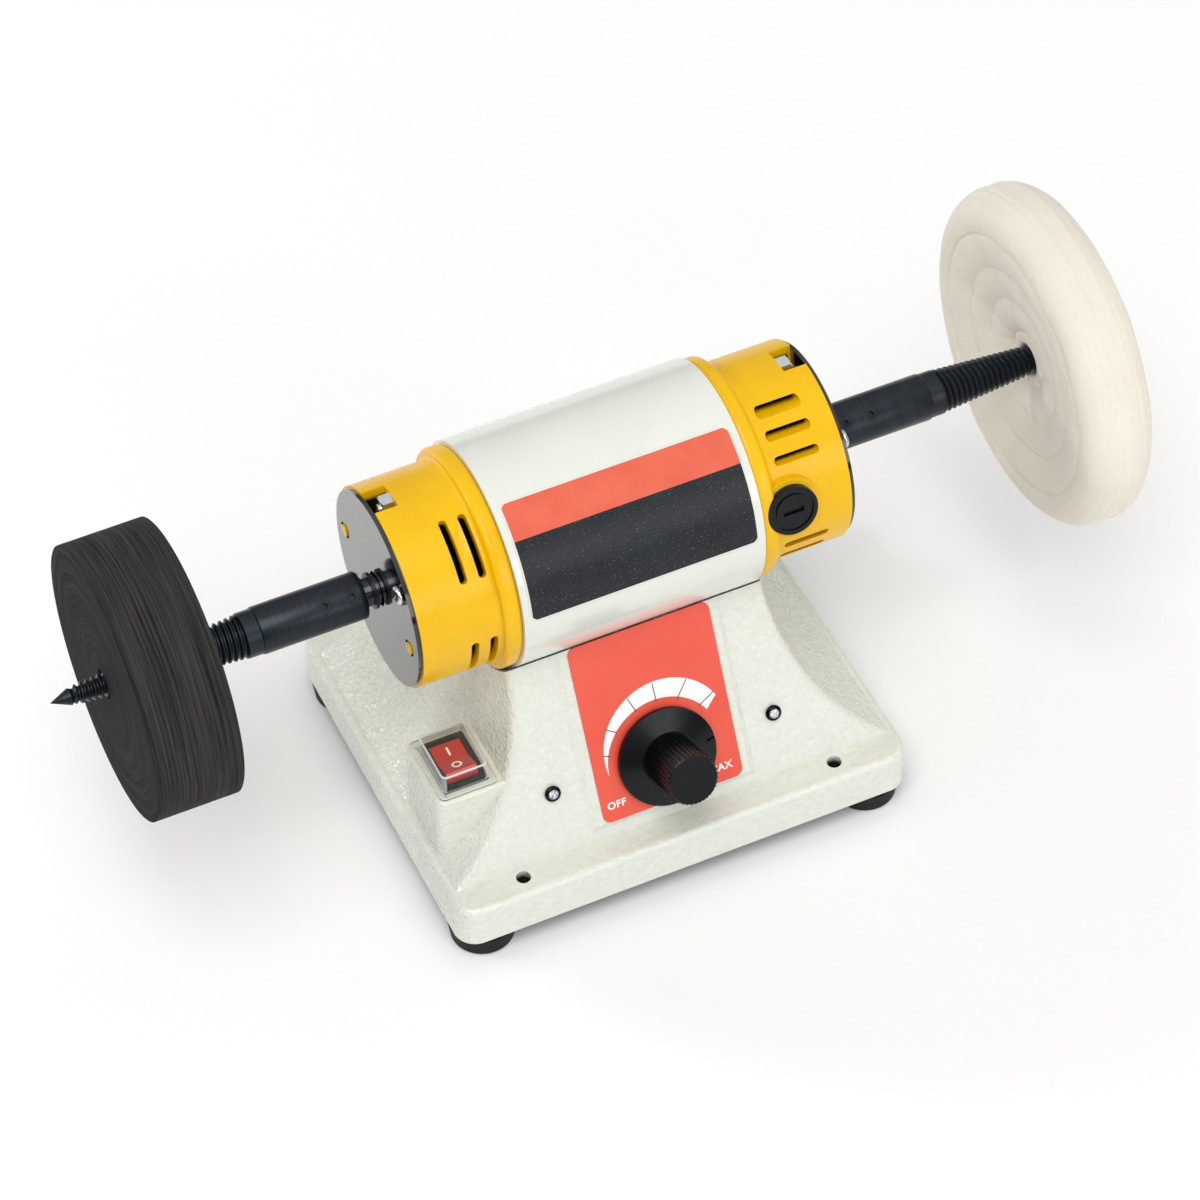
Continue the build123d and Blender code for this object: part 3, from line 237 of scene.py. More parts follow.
class Sheet:
    """A node tree that is filled in from left to right."""

    def __init__(self, tree):
        self.tree = tree

    def feed(self, socket, value):
        """Link a socket, or set its value."""
        if isinstance(value, bpy.types.NodeSocket):
            self.tree.links.new(value, socket)
        else:
            socket.default_value = value

    def add(self, kind, values=None, **settings):
        node = self.tree.nodes.new(kind)
        for key, value in settings.items():
            setattr(node, key, value)
        for key, value in (values or {}).items():
            self.feed(node.inputs[key], value)
        return node

    def math(self, operation, first, second=0.0, third=0.0):
        node = self.add("ShaderNodeMath", {0: first, 1: second, 2: third}, operation=operation)
        return node.outputs[0]

    def times(self, first, second):
        return self.math("MULTIPLY", first, second)

    def minus(self, first, second):
        return self.math("SUBTRACT", first, second)

    def weigh(self, first, weight, other):
        """The first value times a weight, added to the other."""
        return self.math("MULTIPLY_ADD", first, weight, other)

    def size(self, value):
        return self.math("ABSOLUTE", value)

    def hypot(self, first, second):
        squares = [self.math("POWER", value, 2.0) for value in (first, second)]
        return self.math("SQRT", self.math("ADD", *squares))

    def span(self, value, low, high, to_low=0.0, to_high=1.0):
        """Take a range of values to another range, held at its ends."""
        node = self.add("ShaderNodeMapRange", {
            "Value": value, "From Min": low, "From Max": high, "To Min": to_low, "To Max": to_high,
        })
        return node.outputs["Result"]

    def noise(self, vector, scale, detail=2.0, rough=0.5):
        node = self.add("ShaderNodeTexNoise", {
            "Vector": vector, "Scale": scale, "Detail": detail, "Roughness": rough,
        })
        return node.outputs["Fac"]

    def mix(self, share, first, second):
        """Two colours mixed by a share."""
        return self.add("ShaderNodeMix", {0: share, 6: first, 7: second}, data_type="RGBA").outputs[2]

    def place(self):
        return self.add("ShaderNodeTexCoord").outputs["Object"]

    def split(self, vector):
        return self.add("ShaderNodeSeparateXYZ", {0: vector}).outputs

    def normal(self):
        """The parts of the surface's direction."""
        return self.split(self.add("ShaderNodeNewGeometry").outputs["Normal"])

    def shaft_reach(self, parts):
        """How far a point lies from the shaft's axis."""
        return self.hypot(parts["Y"], self.minus(parts["Z"], AXIS_Z * MM))


# Effects that finishes share, each a node group
def effect(name):
    """An empty node group with a scale going in, and a shade and a height coming out."""
    tree = bpy.data.node_groups.new(name, "ShaderNodeTree")
    tree.interface.new_socket("Scale", in_out="INPUT", socket_type="NodeSocketFloat")
    tree.interface.new_socket("Shade", in_out="OUTPUT", socket_type="NodeSocketFloat")
    tree.interface.new_socket("Height", in_out="OUTPUT", socket_type="NodeSocketFloat")
    sheet = Sheet(tree)
    scale = sheet.add("NodeGroupInput").outputs["Scale"]
    return sheet, scale, sheet.place()


def close_effect(sheet, shade, height):
    """Send an effect's shade and height out of its group."""
    sheet.add("NodeGroupOutput", {"Shade": shade, "Height": height})
    return sheet.tree


def moulded_effect():
    """Fine even grain of moulded plastic and film, with slow changes of shade."""
    sheet, scale, place = effect("moulded_grain")
    fine = sheet.noise(place, scale, detail=3.0, rough=0.6)
    slow = sheet.noise(place, sheet.times(scale, 0.04))
    shade = sheet.weigh(slow, 0.7, sheet.times(fine, 0.3))
    return close_effect(sheet, shade, fine)


def hammered_effect():
    """Hammered paint: an orange peel all over, with rounded dimples on the flanks."""
    sheet, scale, place = effect("hammered_skin")
    flank = sheet.span(sheet.size(sheet.normal()["X"]), 0.35, 0.7)
    wobble = sheet.noise(place, sheet.times(scale, 0.6))
    pits = sheet.add(
        "ShaderNodeTexVoronoi",
        {"Vector": place, "Scale": sheet.times(scale, 1.25), "Smoothness": 0.6, "Randomness": 1.0},
        feature="SMOOTH_F1",
    ).outputs["Distance"]
    peel = sheet.noise(place, sheet.times(scale, 0.8), detail=1.0)
    dimples = sheet.weigh(wobble, 0.5, sheet.times(pits, 1.6))
    height = sheet.weigh(peel, 1.3, sheet.times(dimples, flank))
    # The tone follows the peel's height, so its hollows are painted a little darker and its crests a little
    # lighter, as painted shade.
    shade = sheet.weigh(wobble, 0.3, sheet.times(peel, 0.7))
    return close_effect(sheet, shade, height)


def turned_effect():
    """Fine rings left round the shaft by a lathe tool."""
    sheet, scale, place = effect("turned_rings")
    parts = sheet.split(place)
    along = sheet.add("ShaderNodeCombineXYZ", {"X": parts["X"], "Y": sheet.shaft_reach(parts)}).outputs[0]
    rings = sheet.noise(along, scale, detail=3.0, rough=0.65)
    stains = sheet.noise(place, sheet.times(scale, 0.05), detail=3.0)
    shade = sheet.weigh(rings, 0.85, sheet.times(stains, 0.15))
    return close_effect(sheet, shade, rings)


def wound_effect():
    """Winding lines of a rolled fibre wheel: wavy rings on its faces and long lines round its rim, with painted
    shade on its faces.
    """
    sheet, scale, place = effect("wound_lines")
    parts = sheet.split(place)
    wander = sheet.noise(place, 55.0)
    ring = sheet.weigh(wander, 4.0 * MM, sheet.shaft_reach(parts))
    band = sheet.weigh(wander, 0.7 * MM, parts["X"])
    face = sheet.math("GREATER_THAN", sheet.size(sheet.normal()["X"]), 0.6)
    track = sheet.add("ShaderNodeMix", {0: face, 2: band, 3: ring}, data_type="FLOAT").outputs[0]
    drawn_out = 0.012
    streak = sheet.add("ShaderNodeCombineXYZ", {
        "X": track,
        "Y": sheet.times(parts["Y"], drawn_out),
        "Z": sheet.times(parts["Z"], drawn_out),
    }).outputs[0]
    lines = sheet.noise(streak, scale, detail=5.0, rough=0.75)
    fibres = sheet.noise(place, sheet.times(scale, 1.4), detail=3.0, rough=0.6)
    shade = sheet.weigh(lines, 0.92, sheet.times(fibres, 0.08))
    # Painted shade: the flat faces are painted a little darker than the rim.
    tone_with_face_shade = sheet.weigh(face, -0.1, shade)
    height = sheet.weigh(lines, 0.85, sheet.times(fibres, 0.15))
    return close_effect(sheet, tone_with_face_shade, height)


def woven_effect():
    """Plain weave of the buff's cotton, with the edges of its plies and soft lint over it."""
    sheet, scale, place = effect("woven_cotton")
    parts = sheet.split(place)
    warp = sheet.math("SINE", sheet.times(parts["Y"], scale))
    weft = sheet.math("SINE", sheet.times(parts["Z"], scale))
    lint = sheet.noise(place, sheet.times(scale, 0.12), detail=4.0, rough=0.65)
    slow = sheet.noise(place, 38.0)
    plies = sheet.noise(sheet.add("ShaderNodeCombineXYZ", {"X": parts["X"]}).outputs[0], 420.0)
    soft = sheet.weigh(slow, 0.4, sheet.times(lint, 0.3))
    height = sheet.weigh(sheet.times(warp, weft), 0.3, lint)
    return close_effect(sheet, sheet.weigh(plies, 0.3, soft), height)


MOULDED = moulded_effect()
HAMMERED = hammered_effect()
TURNED = turned_effect()
WOUND = wound_effect()
WOVEN = woven_effect()


# Finishes
FINISH = {}
EVEN = (0.3, 0.7)


def blank_finish(name):
    """A new material's node sheet and shader."""
    material = bpy.data.materials.new(name)
    material.use_nodes = True
    FINISH[name] = material
    return Sheet(material.node_tree), material.node_tree.nodes["Principled BSDF"]


def lay_grain(sheet, shader, group, scale, rough, relief, spread=EVEN):
    """Roughness and relief from a shared effect; what comes back is the share of the lighter shade."""
    grain = sheet.add("ShaderNodeGroup", {"Scale": scale}, node_tree=group)
    sheet.feed(shader.inputs["Roughness"], sheet.span(grain.outputs["Shade"], *spread, *rough))
    bump = sheet.add("ShaderNodeBump", {
        "Height": grain.outputs["Height"], "Distance": relief * MM, "Strength": 1.0,
    })
    sheet.feed(shader.inputs["Normal"], bump.outputs["Normal"])
    return sheet.span(grain.outputs["Shade"], *spread)


def finish(name, group, scale, dark, light, rough, relief, spread=EVEN, metallic=0.0, coat=0.0, specular=0.5,
           sheen=0.0):
    """A finish from one shared effect: two shades, a range of roughness and a relief in millimetres."""
    sheet, shader = blank_finish(name)
    share = lay_grain(sheet, shader, group, scale, rough, relief, spread)
    colour = sheet.mix(share, dark, light)
    sheet.feed(shader.inputs["Base Color"], colour)
    shader.inputs["Metallic"].default_value = metallic
    shader.inputs["Coat Weight"].default_value = coat
    shader.inputs["Coat Roughness"].default_value = 0.08
    shader.inputs["Specular IOR Level"].default_value = specular
    shader.inputs["Sheen Weight"].default_value = sheen
    return sheet, shader, colour


finish("tube_paint", MOULDED, 900.0, rgb(224, 226, 216), rgb(231, 233, 224),
       rough=(0.16, 0.24), relief=0.008, coat=0.5)
finish("dark_plate", MOULDED, 700.0, rgb(18, 18, 19), rgb(30, 30, 32), rough=(0.45, 0.6), relief=0.02)
finish("gloss_black", MOULDED, 260.0, rgb(8, 8, 9), rgb(14, 14, 15),
       rough=(0.06, 0.12), relief=0.003, coat=0.6)
finish("black_plastic", MOULDED, 1300.0, rgb(3, 6, 9), rgb(8, 12, 17),
       rough=(0.2, 0.3), relief=0.01, specular=0.26)
finish("red_plastic", MOULDED, 600.0, rgb(172, 22, 14), rgb(194, 34, 22),
       rough=(0.16, 0.26), relief=0.006, coat=0.2)
finish("red_panel", MOULDED, 1500.0, rgb(230, 80, 60), rgb(237, 92, 70), rough=(0.38, 0.5), relief=0.012)
finish("rubber_black", MOULDED, 900.0, rgb(10, 10, 10), rgb(20, 20, 20),
       rough=(0.55, 0.75), relief=0.03, specular=0.3)
finish("zinc_steel", MOULDED, 500.0, rgb(190, 192, 194), rgb(226, 228, 230),
       rough=(0.12, 0.26), relief=0.01, metallic=1.0)
finish("dark_steel", TURNED, 5200.0, rgb(12, 14, 17), rgb(50, 58, 66),
       rough=(0.28, 0.4), relief=0.006, metallic=0.7)
finish("shaft_steel", TURNED, 2200.0, rgb(58, 60, 63), rgb(104, 106, 110),
       rough=(0.12, 0.24), relief=0.006, metallic=1.0)
finish("bright_steel", TURNED, 2200.0, rgb(170, 172, 174), rgb(206, 208, 210),
       rough=(0.14, 0.3), relief=0.006, metallic=1.0)
finish("magnet", MOULDED, 600.0, rgb(44, 44, 46), rgb(62, 62, 64), rough=(0.6, 0.8), relief=0.03)
finish("iron_core", TURNED, 3000.0, rgb(96, 97, 99), rgb(140, 141, 143),
       rough=(0.35, 0.5), relief=0.02, metallic=1.0)
finish("copper_wire", TURNED, 1400.0, rgb(96, 48, 26), rgb(150, 84, 48),
       rough=(0.3, 0.45), relief=0.05, metallic=1.0)
finish("brass", TURNED, 1800.0, rgb(180, 140, 66), rgb(214, 176, 96),
       rough=(0.22, 0.36), relief=0.01, metallic=1.0)
finish("carbon", MOULDED, 900.0, rgb(30, 30, 31), rgb(46, 46, 47), rough=(0.5, 0.7), relief=0.02)
finish("board", MOULDED, 500.0, rgb(16, 70, 40), rgb(26, 92, 54), rough=(0.3, 0.45), relief=0.02)
finish("fibre_wheel", WOUND, 1500.0, rgb(20, 20, 20), rgb(70, 69, 68),
       rough=(0.8, 0.95), relief=0.12, spread=(0.36, 0.66), specular=0.1)
finish("cotton", WOVEN, 5200.0, rgb(227, 219, 203), rgb(240, 234, 221),
       rough=(0.85, 0.98), relief=0.1, specular=0.2, sheen=0.2)
finish("white_print", MOULDED, 1500.0, rgb(240, 240, 238), rgb(250, 250, 248), rough=(0.4, 0.5), relief=0.01)
finish("tick_print", MOULDED, 1500.0, rgb(92, 40, 40), rgb(112, 50, 48), rough=(0.4, 0.5), relief=0.01)
finish("stitch", WOVEN, 9000.0, rgb(222, 213, 197), rgb(238, 231, 218), rough=(0.8, 0.95), relief=0.05)


# Painted casting
BENCH_X = MOUNTS["bench_bolts"]["dims"]["spacing_x_mm"] / 2
BENCH_Y = MOUNTS["bench_bolts"]["dims"]["spacing_y_mm"] / 2
BENCH_EDGE = MOUNTS["bench_bolts"]["dims"]["hole_r_mm"] + 0.04
LEDGE_TOP = 26.0
# Levels of the painted shade down the bench holes: it starts at the first and is full at the second.
HOLE_SHADE_START = LEDGE_TOP - 0.6
HOLE_SHADE_FULL = LEDGE_TOP - 3.0
# Within this reach of the shaft the cradle is painted dark, as a painted shadow line beside the tube.
CRADLE_EDGE = 40.6


def cast_finish():
    """Hammered enamel on the casting, with painted shade down its bench holes and a painted dark shadow line along
    its cradle.
    """
    sheet, shader, paint = finish("cast_paint", HAMMERED, 600.0, rgb(219, 222, 210), rgb(227, 230, 219),
                                  rough=(0.14, 0.2), relief=0.36, coat=0.4)
    parts = sheet.split(sheet.place())
    along = sheet.minus(sheet.size(parts["X"]), BENCH_X * MM)
    across = sheet.minus(sheet.size(parts["Y"]), BENCH_Y * MM)
    in_hole = sheet.math("LESS_THAN", sheet.hypot(along, across), BENCH_EDGE * MM)
    deep = sheet.span(parts["Z"], HOLE_SHADE_FULL * MM, HOLE_SHADE_START * MM, 1.0, 0.0)
    cradle = sheet.math("LESS_THAN", sheet.shaft_reach(parts), CRADLE_EDGE * MM)
    # Painted shade: deep in the bench holes and along the cradle, the paint turns to a dark colour.
    painted_shade = sheet.math("MAXIMUM", sheet.times(in_hole, deep), cradle)
    sheet.feed(shader.inputs["Base Color"], sheet.mix(painted_shade, paint, rgb(46, 43, 40)))


# Yellow end caps
# Reaches from the shaft where the painted shade on the inner walls is full and where it ends, and how far out
# along the shaft it goes.
INNER_SHADE_FULL = 31.8
INNER_SHADE_EDGE = 33.2
INNER_SHADE_END = 77.4


def cap_finish():
    """Yellow moulding, with painted shade on its inner walls, where slots and notches open it."""
    sheet, shader, moulded_yellow = finish("yellow_plastic", MOULDED, 1100.0, rgb(235, 180, 0), rgb(242, 193, 4),
                                  rough=(0.24, 0.34), relief=0.01, specular=0.3)
    parts = sheet.split(sheet.place())
    inside = sheet.span(sheet.shaft_reach(parts), INNER_SHADE_FULL * MM, INNER_SHADE_EDGE * MM, 1.0, 0.0)
    behind = sheet.math("LESS_THAN", sheet.size(parts["X"]), INNER_SHADE_END * MM)
    # Painted shade: inside the outer skin of each cap, the yellow turns near black.
    inner_shade = sheet.times(inside, behind)
    sheet.feed(shader.inputs["Base Color"], sheet.mix(inner_shade, moulded_yellow, rgb(30, 21, 8)))


# Front screws
# Radii of the painted highlight on each head: full inside the first, gone beyond the second.
GLINT_INNER = 1.3
GLINT_OUTER = 1.9


def screw_finish():
    """Blackened front screws, with a painted highlight in the middle of each head, round the cross recess."""
    sheet, shader, black = finish("screw_steel", MOULDED, 700.0, rgb(16, 17, 22), rgb(40, 42, 50),
                                  rough=(0.1, 0.2), relief=0.008, metallic=1.0)
    parts = sheet.split(sheet.place())
    along = sheet.minus(sheet.size(parts["X"]), FRONT_SCREW_X * MM)
    back = sheet.times(sheet.minus(parts["Y"], FACE_FOOT.y * MM), FACE_UP.y)
    rise = sheet.times(sheet.minus(parts["Z"], FACE_FOOT.z * MM), FACE_UP.z)
    up = sheet.minus(sheet.math("ADD", back, rise), FACE_ROW * MM)
    # Painted highlight: the middle of each head is painted near white.
    wear_and_glint = sheet.span(sheet.hypot(along, up), GLINT_INNER * MM, GLINT_OUTER * MM, 1.0, 0.0)
    sheet.feed(shader.inputs["Base Color"], sheet.mix(wear_and_glint, black, rgb(226, 228, 232)))


# Label on the motor tube
LABEL_MARGIN = 0.5
LABEL_END = span_of("rating_label")[1][0] - LABEL_MARGIN
LABEL_SPLIT = math.radians(131.5)
LABEL_MIDDLE = math.radians(142.7)
LABEL_HALF = math.radians(30.0)


def label_finish():
    """Bare two-band label film: coral above, speckled charcoal below, with a thin pale edge round it."""
    sheet, shader = blank_finish("label_film")
    share = lay_grain(sheet, shader, MOULDED, 2600.0, rough=(0.3, 0.42), relief=0.01)
    place = sheet.place()
    parts = sheet.split(place)
    angle = sheet.math("ARCTAN2", sheet.minus(parts["Z"], AXIS_Z * MM), parts["Y"])
    lower = sheet.math("GREATER_THAN", angle, LABEL_SPLIT)
    coral = sheet.mix(share, rgb(222, 94, 70), rgb(230, 108, 82))
    charcoal = sheet.mix(share, rgb(16, 20, 24), rgb(30, 35, 40))
    speck = sheet.span(sheet.noise(place, 1900.0, detail=1.0), 0.66, 0.74)
    speckled = sheet.mix(speck, charcoal, rgb(92, 97, 104))
    ends = sheet.math("GREATER_THAN", sheet.size(parts["X"]), LABEL_END * MM)
    sides = sheet.math("GREATER_THAN", sheet.size(sheet.minus(angle, LABEL_MIDDLE)), LABEL_HALF)
    bands = sheet.mix(lower, coral, speckled)
    edge = sheet.math("MAXIMUM", ends, sides)
    sheet.feed(shader.inputs["Base Color"], sheet.mix(edge, bands, rgb(226, 224, 218)))
    shader.inputs["Specular IOR Level"].default_value = 0.3


# Clear switch cover
# Level below which the cover's upright foot is painted dark, as painted shade.
FOOT_SHADE_LINE = COVER_LOW.z + 0.7


def clear_finish():
    """Clear moulded plastic, with painted highlights along its polished edges and corners and a painted dark line
    of shade along its foot.
    """
    sheet, shader = blank_finish("clear_plastic")
    share = lay_grain(sheet, shader, MOULDED, 220.0, rough=(0.03, 0.08), relief=0.02)
    height = sheet.split(sheet.place())["Z"]
    turn = sheet.normal()
    level = sheet.size(turn["Z"])
    # Painted highlights: bevelled edges and upright corners, found by the surface's direction, get a thicker pale
    # film.
    edge = sheet.math("COMPARE", level, 0.66, 0.29)
    corner = sheet.math("GREATER_THAN", sheet.size(sheet.times(turn["X"], turn["Y"])), 0.2)
    # Painted shade: the upright foot below that level is painted dark.
    low = sheet.math("LESS_THAN", height, FOOT_SHADE_LINE * MM)
    foot = sheet.times(low, sheet.math("LESS_THAN", level, 0.35))
    facing = sheet.add("ShaderNodeLayerWeight", {"Blend": 0.5}).outputs["Facing"]
    film = sheet.weigh(sheet.math("POWER", facing, 2.5), 0.6, 0.015)
    for mark, strength in ((edge, 0.7), (corner, 0.22), (foot, 0.6)):
        film = sheet.weigh(mark, strength, film)
    pale = sheet.mix(share, rgb(228, 233, 232), rgb(244, 247, 246))
    sheet.feed(shader.inputs["Base Color"], sheet.mix(foot, pale, rgb(52, 54, 52)))
    sheet.feed(shader.inputs["Alpha"], film)
    shader.inputs["Coat Weight"].default_value = 1.0
    shader.inputs["Coat Roughness"].default_value = 0.04


cast_finish()
cap_finish()
screw_finish()
label_finish()
clear_finish()

for part in frame["record"]["subparts"]:
    solid = NODES[part["node"]]
    solid.data.materials.clear()
    solid.data.materials.append(FINISH[part["material_slot"]])


# Taper spindles: turned sleeve and neck, cut thread and pointed end
SPINDLE_LOW, SPINDLE_HIGH = span_of("spindle_right")
SLEEVE_LENGTH = 37.5
SLEEVE_RADIUS = SPINDLE_HIGH[2] - AXIS_Z
SLEEVE_BORE = 5.05
SLEEVE_START = SPINDLE_LOW[0]
SLEEVE_END = SLEEVE_START + SLEEVE_LENGTH
BORE_END = SLEEVE_START + 33.8
NECK_LENGTH = 5.5
NECK_RADIUS = 7.9
TAPER_LENGTH = 59.5
TAPER_START = SLEEVE_END + NECK_LENGTH
TAPER_END = TAPER_START + TAPER_LENGTH
TIP_START = TAPER_END + 0.5
TIP_RADIUS = 2.95
TIP_END = SPINDLE_HIGH[0]
CREST_START = 7.7
CREST_END = 3.3
THREAD_PITCH = 2.1
THREAD_DEPTH = 1.05
THREAD_FADE = 3.0
THREAD_SINK = 0.02
SET_STATIONS = (SLEEVE_START + 5.0, SLEEVE_START + 14.7)
SET_ROOM = 3.0
SET_RADIUS = 2.55
SET_FLOOR = 5.5
SET_TOP = 13.5
SET_ANGLE = math.radians(130.0)


def crest_radius(x):
    """Thread crest radius along a spindle."""
    return CREST_START + (CREST_END - CREST_START) * (x - TAPER_START) / TAPER_LENGTH


def taper_thread(name):
    """One long ridge wound round the taper, fading out at its small end."""
    start = TAPER_START - THREAD_PITCH
    root = 6.0
    crest = root + 1.0
    ridge = [(0.0, root), (0.12, root), (0.46, crest), (0.62, crest), (0.96, root), (1.0, root)]
    piece = outline_start(name, start, root)
    outline_draw([(start + share * THREAD_PITCH, radius) for share, radius in ridge])
    bpy.ops.object.mode_set(mode="OBJECT")
    winding = piece.modifiers.new("winding", "SCREW")
    winding.axis = "X"
    winding.screw_offset = THREAD_PITCH * MM
    winding.iterations = int(TAPER_LENGTH / THREAD_PITCH) + 1
    winding.steps = 48
    winding.render_steps = 48
    winding.use_merge_vertices = True
    winding.merge_threshold = 1e-6
    apply_modifiers(piece)
    for corner in piece.data.vertices:
        x = corner.co.x / MM
        reach = math.hypot(corner.co.y, corner.co.z) / MM
        fade = min(1.0, max(0.0, (TAPER_END + 1.0 - x) / THREAD_FADE))
        radius = crest_radius(x) - THREAD_DEPTH * (1.0 - (reach - root) * fade)
        corner.co.y *= radius / reach
        corner.co.z *= radius / reach
    return piece


def spindle_core():
    """Outline of a spindle without its thread, from its bore's mouth round to the bore again."""
    return [
        (SLEEVE_START, SLEEVE_BORE),
        (SLEEVE_START, SLEEVE_RADIUS - 0.6),
        (SLEEVE_START + 0.25, SLEEVE_RADIUS - 0.2),
        (SLEEVE_START + 0.6, SLEEVE_RADIUS),
        *[(station + end * SET_ROOM, SLEEVE_RADIUS) for station in SET_STATIONS for end in (-1, 1)],
        (SLEEVE_END - 0.6, SLEEVE_RADIUS),
        (SLEEVE_END - 0.2, SLEEVE_RADIUS - 0.15),
        (SLEEVE_END, SLEEVE_RADIUS - 0.3),
        (SLEEVE_END + 0.1, NECK_RADIUS),
        (TAPER_START - 0.5, NECK_RADIUS),
        (TAPER_START - 0.1, NECK_RADIUS - 0.4),
        (TAPER_START, NECK_RADIUS - 0.9),
        (TAPER_START + 0.1, CREST_START - THREAD_DEPTH - THREAD_SINK),
        (TAPER_END - 0.6, CREST_END - THREAD_DEPTH - THREAD_SINK),
        (TIP_START - 0.3, TIP_RADIUS - 0.35),
        (TIP_START, TIP_RADIUS),
        (TIP_START + 0.3, TIP_RADIUS - 0.05),
        (TIP_END - 0.4, 0.15),
        (TIP_END - 0.1, 0.0),
        (BORE_END, 0.0),
        (BORE_END, SLEEVE_BORE),
        (SLEEVE_START, SLEEVE_BORE),
    ]


def spindle(side, name, node):
    """A whole spindle on one end of the shaft."""
    body = lathe(name, spindle_core())
    outwards = (0, math.cos(SET_ANGLE), math.sin(SET_ANGLE))
    for station in SET_STATIONS:
        drill = cylinder(SET_RADIUS, SET_FLOOR, SET_TOP, 40)
        put(drill, frame_matrix((station, 0, 0), (1, 0, 0), outwards))
        carve(body, drill)
    piece = join([body, taper_thread(name + "_thread")], name)
    if side < 0:
        put(piece, Matrix.Diagonal((-1, 1, 1, 1)))
    mend(piece)
    to_shaft(piece)
    smooth(piece, 32.0)
    seat(piece, "rotor", "dark_steel", "dark_steel", node)


spindle(-1, "taper_spindle_left", "spindle_left")
spindle(1, "taper_spindle_right", "spindle_right")


# Rolled fibre wheel: flat faces and a rim with worn bands
WHEEL_LOW, WHEEL_HIGH = span_of("abrasive_wheel")
WHEEL_NEAR = WHEEL_HIGH[0]
WHEEL_FAR = WHEEL_LOW[0]
WHEEL_RIM = WHEEL_HIGH[2] - AXIS_Z
WHEEL_FIT = 0.2
WHEEL_EDGE = 0.35
FACE_WEAR = 0.1
RIM_WEAR = 0.06
FACE_BANDS = 30
RIM_BANDS = 44


def wheel_face(x, inwards, bore, bands):
    """Points of one worn face, at the radii of its bands."""
    reach = WHEEL_RIM - 0.6 - bore
    points = []
    for band in bands:
        wear_and_glint = chance.uniform(0.0, FACE_WEAR)
        points.append((x + inwards * wear_and_glint, bore + reach * band / FACE_BANDS))
    return points


def fibre_wheel():
    """The wheel, drawn from its tapered bore over one face, the rim and the other face."""
    bore_near = crest_radius(-WHEEL_NEAR) + WHEEL_FIT
    bore_far = crest_radius(-WHEEL_FAR) + WHEEL_FIT
    rim_start = WHEEL_NEAR - WHEEL_EDGE
    rim_width = WHEEL_FAR + WHEEL_EDGE - rim_start
    points = [(WHEEL_NEAR, bore_near)]
    points += wheel_face(WHEEL_NEAR, -1, bore_near, range(1, FACE_BANDS))
    points.append((WHEEL_NEAR - 0.05, WHEEL_RIM - 0.5))
    for band in range(RIM_BANDS + 1):
        wear_and_glint = chance.uniform(0.0, RIM_WEAR)
        points.append((rim_start + rim_width * band / RIM_BANDS, WHEEL_RIM - wear_and_glint))
    points.append((WHEEL_FAR + 0.05, WHEEL_RIM - 0.5))
    points += wheel_face(WHEEL_FAR, 1, bore_far, range(FACE_BANDS - 1, 0, -1))
    points += [(WHEEL_FAR, bore_far + 1.1), (WHEEL_FAR + 1.4, bore_far), (WHEEL_NEAR, bore_near)]
    piece = lathe("wound_fibre_wheel", points, 160)
    to_shaft(piece)
    smooth(piece, 50.0)
    seat(piece, "rotor", "fibre_wheel", "fibre_wheel", "abrasive_wheel")


fibre_wheel()


# Cotton buff: stitched plies, puffed between the stitch rings and dished to the hub, with a soft rim
BUFF_LOW, BUFF_HIGH = span_of("cotton_buff")
BUFF_NEAR = BUFF_LOW[0]
BUFF_FAR = BUFF_HIGH[0]
BUFF_RIM = BUFF_HIGH[2] - AXIS_Z
BUFF_ROUND = 11.0
BUFF_SHOULDER = BUFF_RIM - BUFF_ROUND
BUFF_DISH = 6.8
DISH_INNER = 5.3
DISH_OUTER = 46.0
STITCH_RINGS = (10.5, 22.5, 34.5)
STITCH_DEPTH = 1.3
FOLD = 47.5
FOLD_DEPTH = 0.7
CREASES = (1.0, *STITCH_RINGS, FOLD, 56.0)
HUB_RADIUS = 6.2
HUB_STEP = 0.6
HUB_FIT = 0.25
FACE_RINGS = 72
SHOULDER_STEPS = 24
PLY_GROOVES = (14, 19, 24, 29, 34)
PLY_GROOVE_DEPTH = 0.45
GATHER = 0.16
LUMP_SIZE = 16.0
LUMP_HEIGHT = 0.6


def buff_sink(radius):
    """How far a face of the buff lies in from its outermost level at a radius."""
    dish = BUFF_DISH * max(0.0, 1.0 - (radius - DISH_INNER) / (DISH_OUTER - DISH_INNER))
    for low, high in zip(CREASES, CREASES[1:]):
        if low <= radius <= high:
            puff = max(0.0, math.sin(math.pi * (radius - low) / (high - low))) ** 0.5
            return dish + (FOLD_DEPTH if low == FOLD else STITCH_DEPTH) * (1.0 - puff)
    return dish


def buff_rim_points():
    """Round shoulders and a narrow flat of the rim, with the plies' edges as shallow grooves."""
    points = []
    for step in range(1, SHOULDER_STEPS + 1):
        turn = math.pi / 2 * step / SHOULDER_STEPS
        x = BUFF_NEAR + BUFF_ROUND * (1 - math.cos(turn))
        points.append((x, BUFF_SHOULDER + BUFF_ROUND * math.sin(turn)))
    points += [(BUFF_NEAR + BUFF_FAR - x, radius) for x, radius in reversed(points)]
    for place in PLY_GROOVES:
        x, radius = points[place]
        points[place] = (x, radius - PLY_GROOVE_DEPTH)
    return points


def gather_faces(piece):
    """Pull the faces into shallow waves, as the stitches do."""
    for corner in piece.data.vertices:
        turn = math.atan2(corner.co.z, corner.co.y)
        reach = math.hypot(corner.co.y, corner.co.z) / MM
        if 8.0 < reach < BUFF_SHOULDER:
            pull = math.sin(9 * turn + math.sin(reach / 5)) + 0.7 * math.sin(17 * turn + 2.1 + reach / 9)
            corner.co.x += GATHER * MM * pull


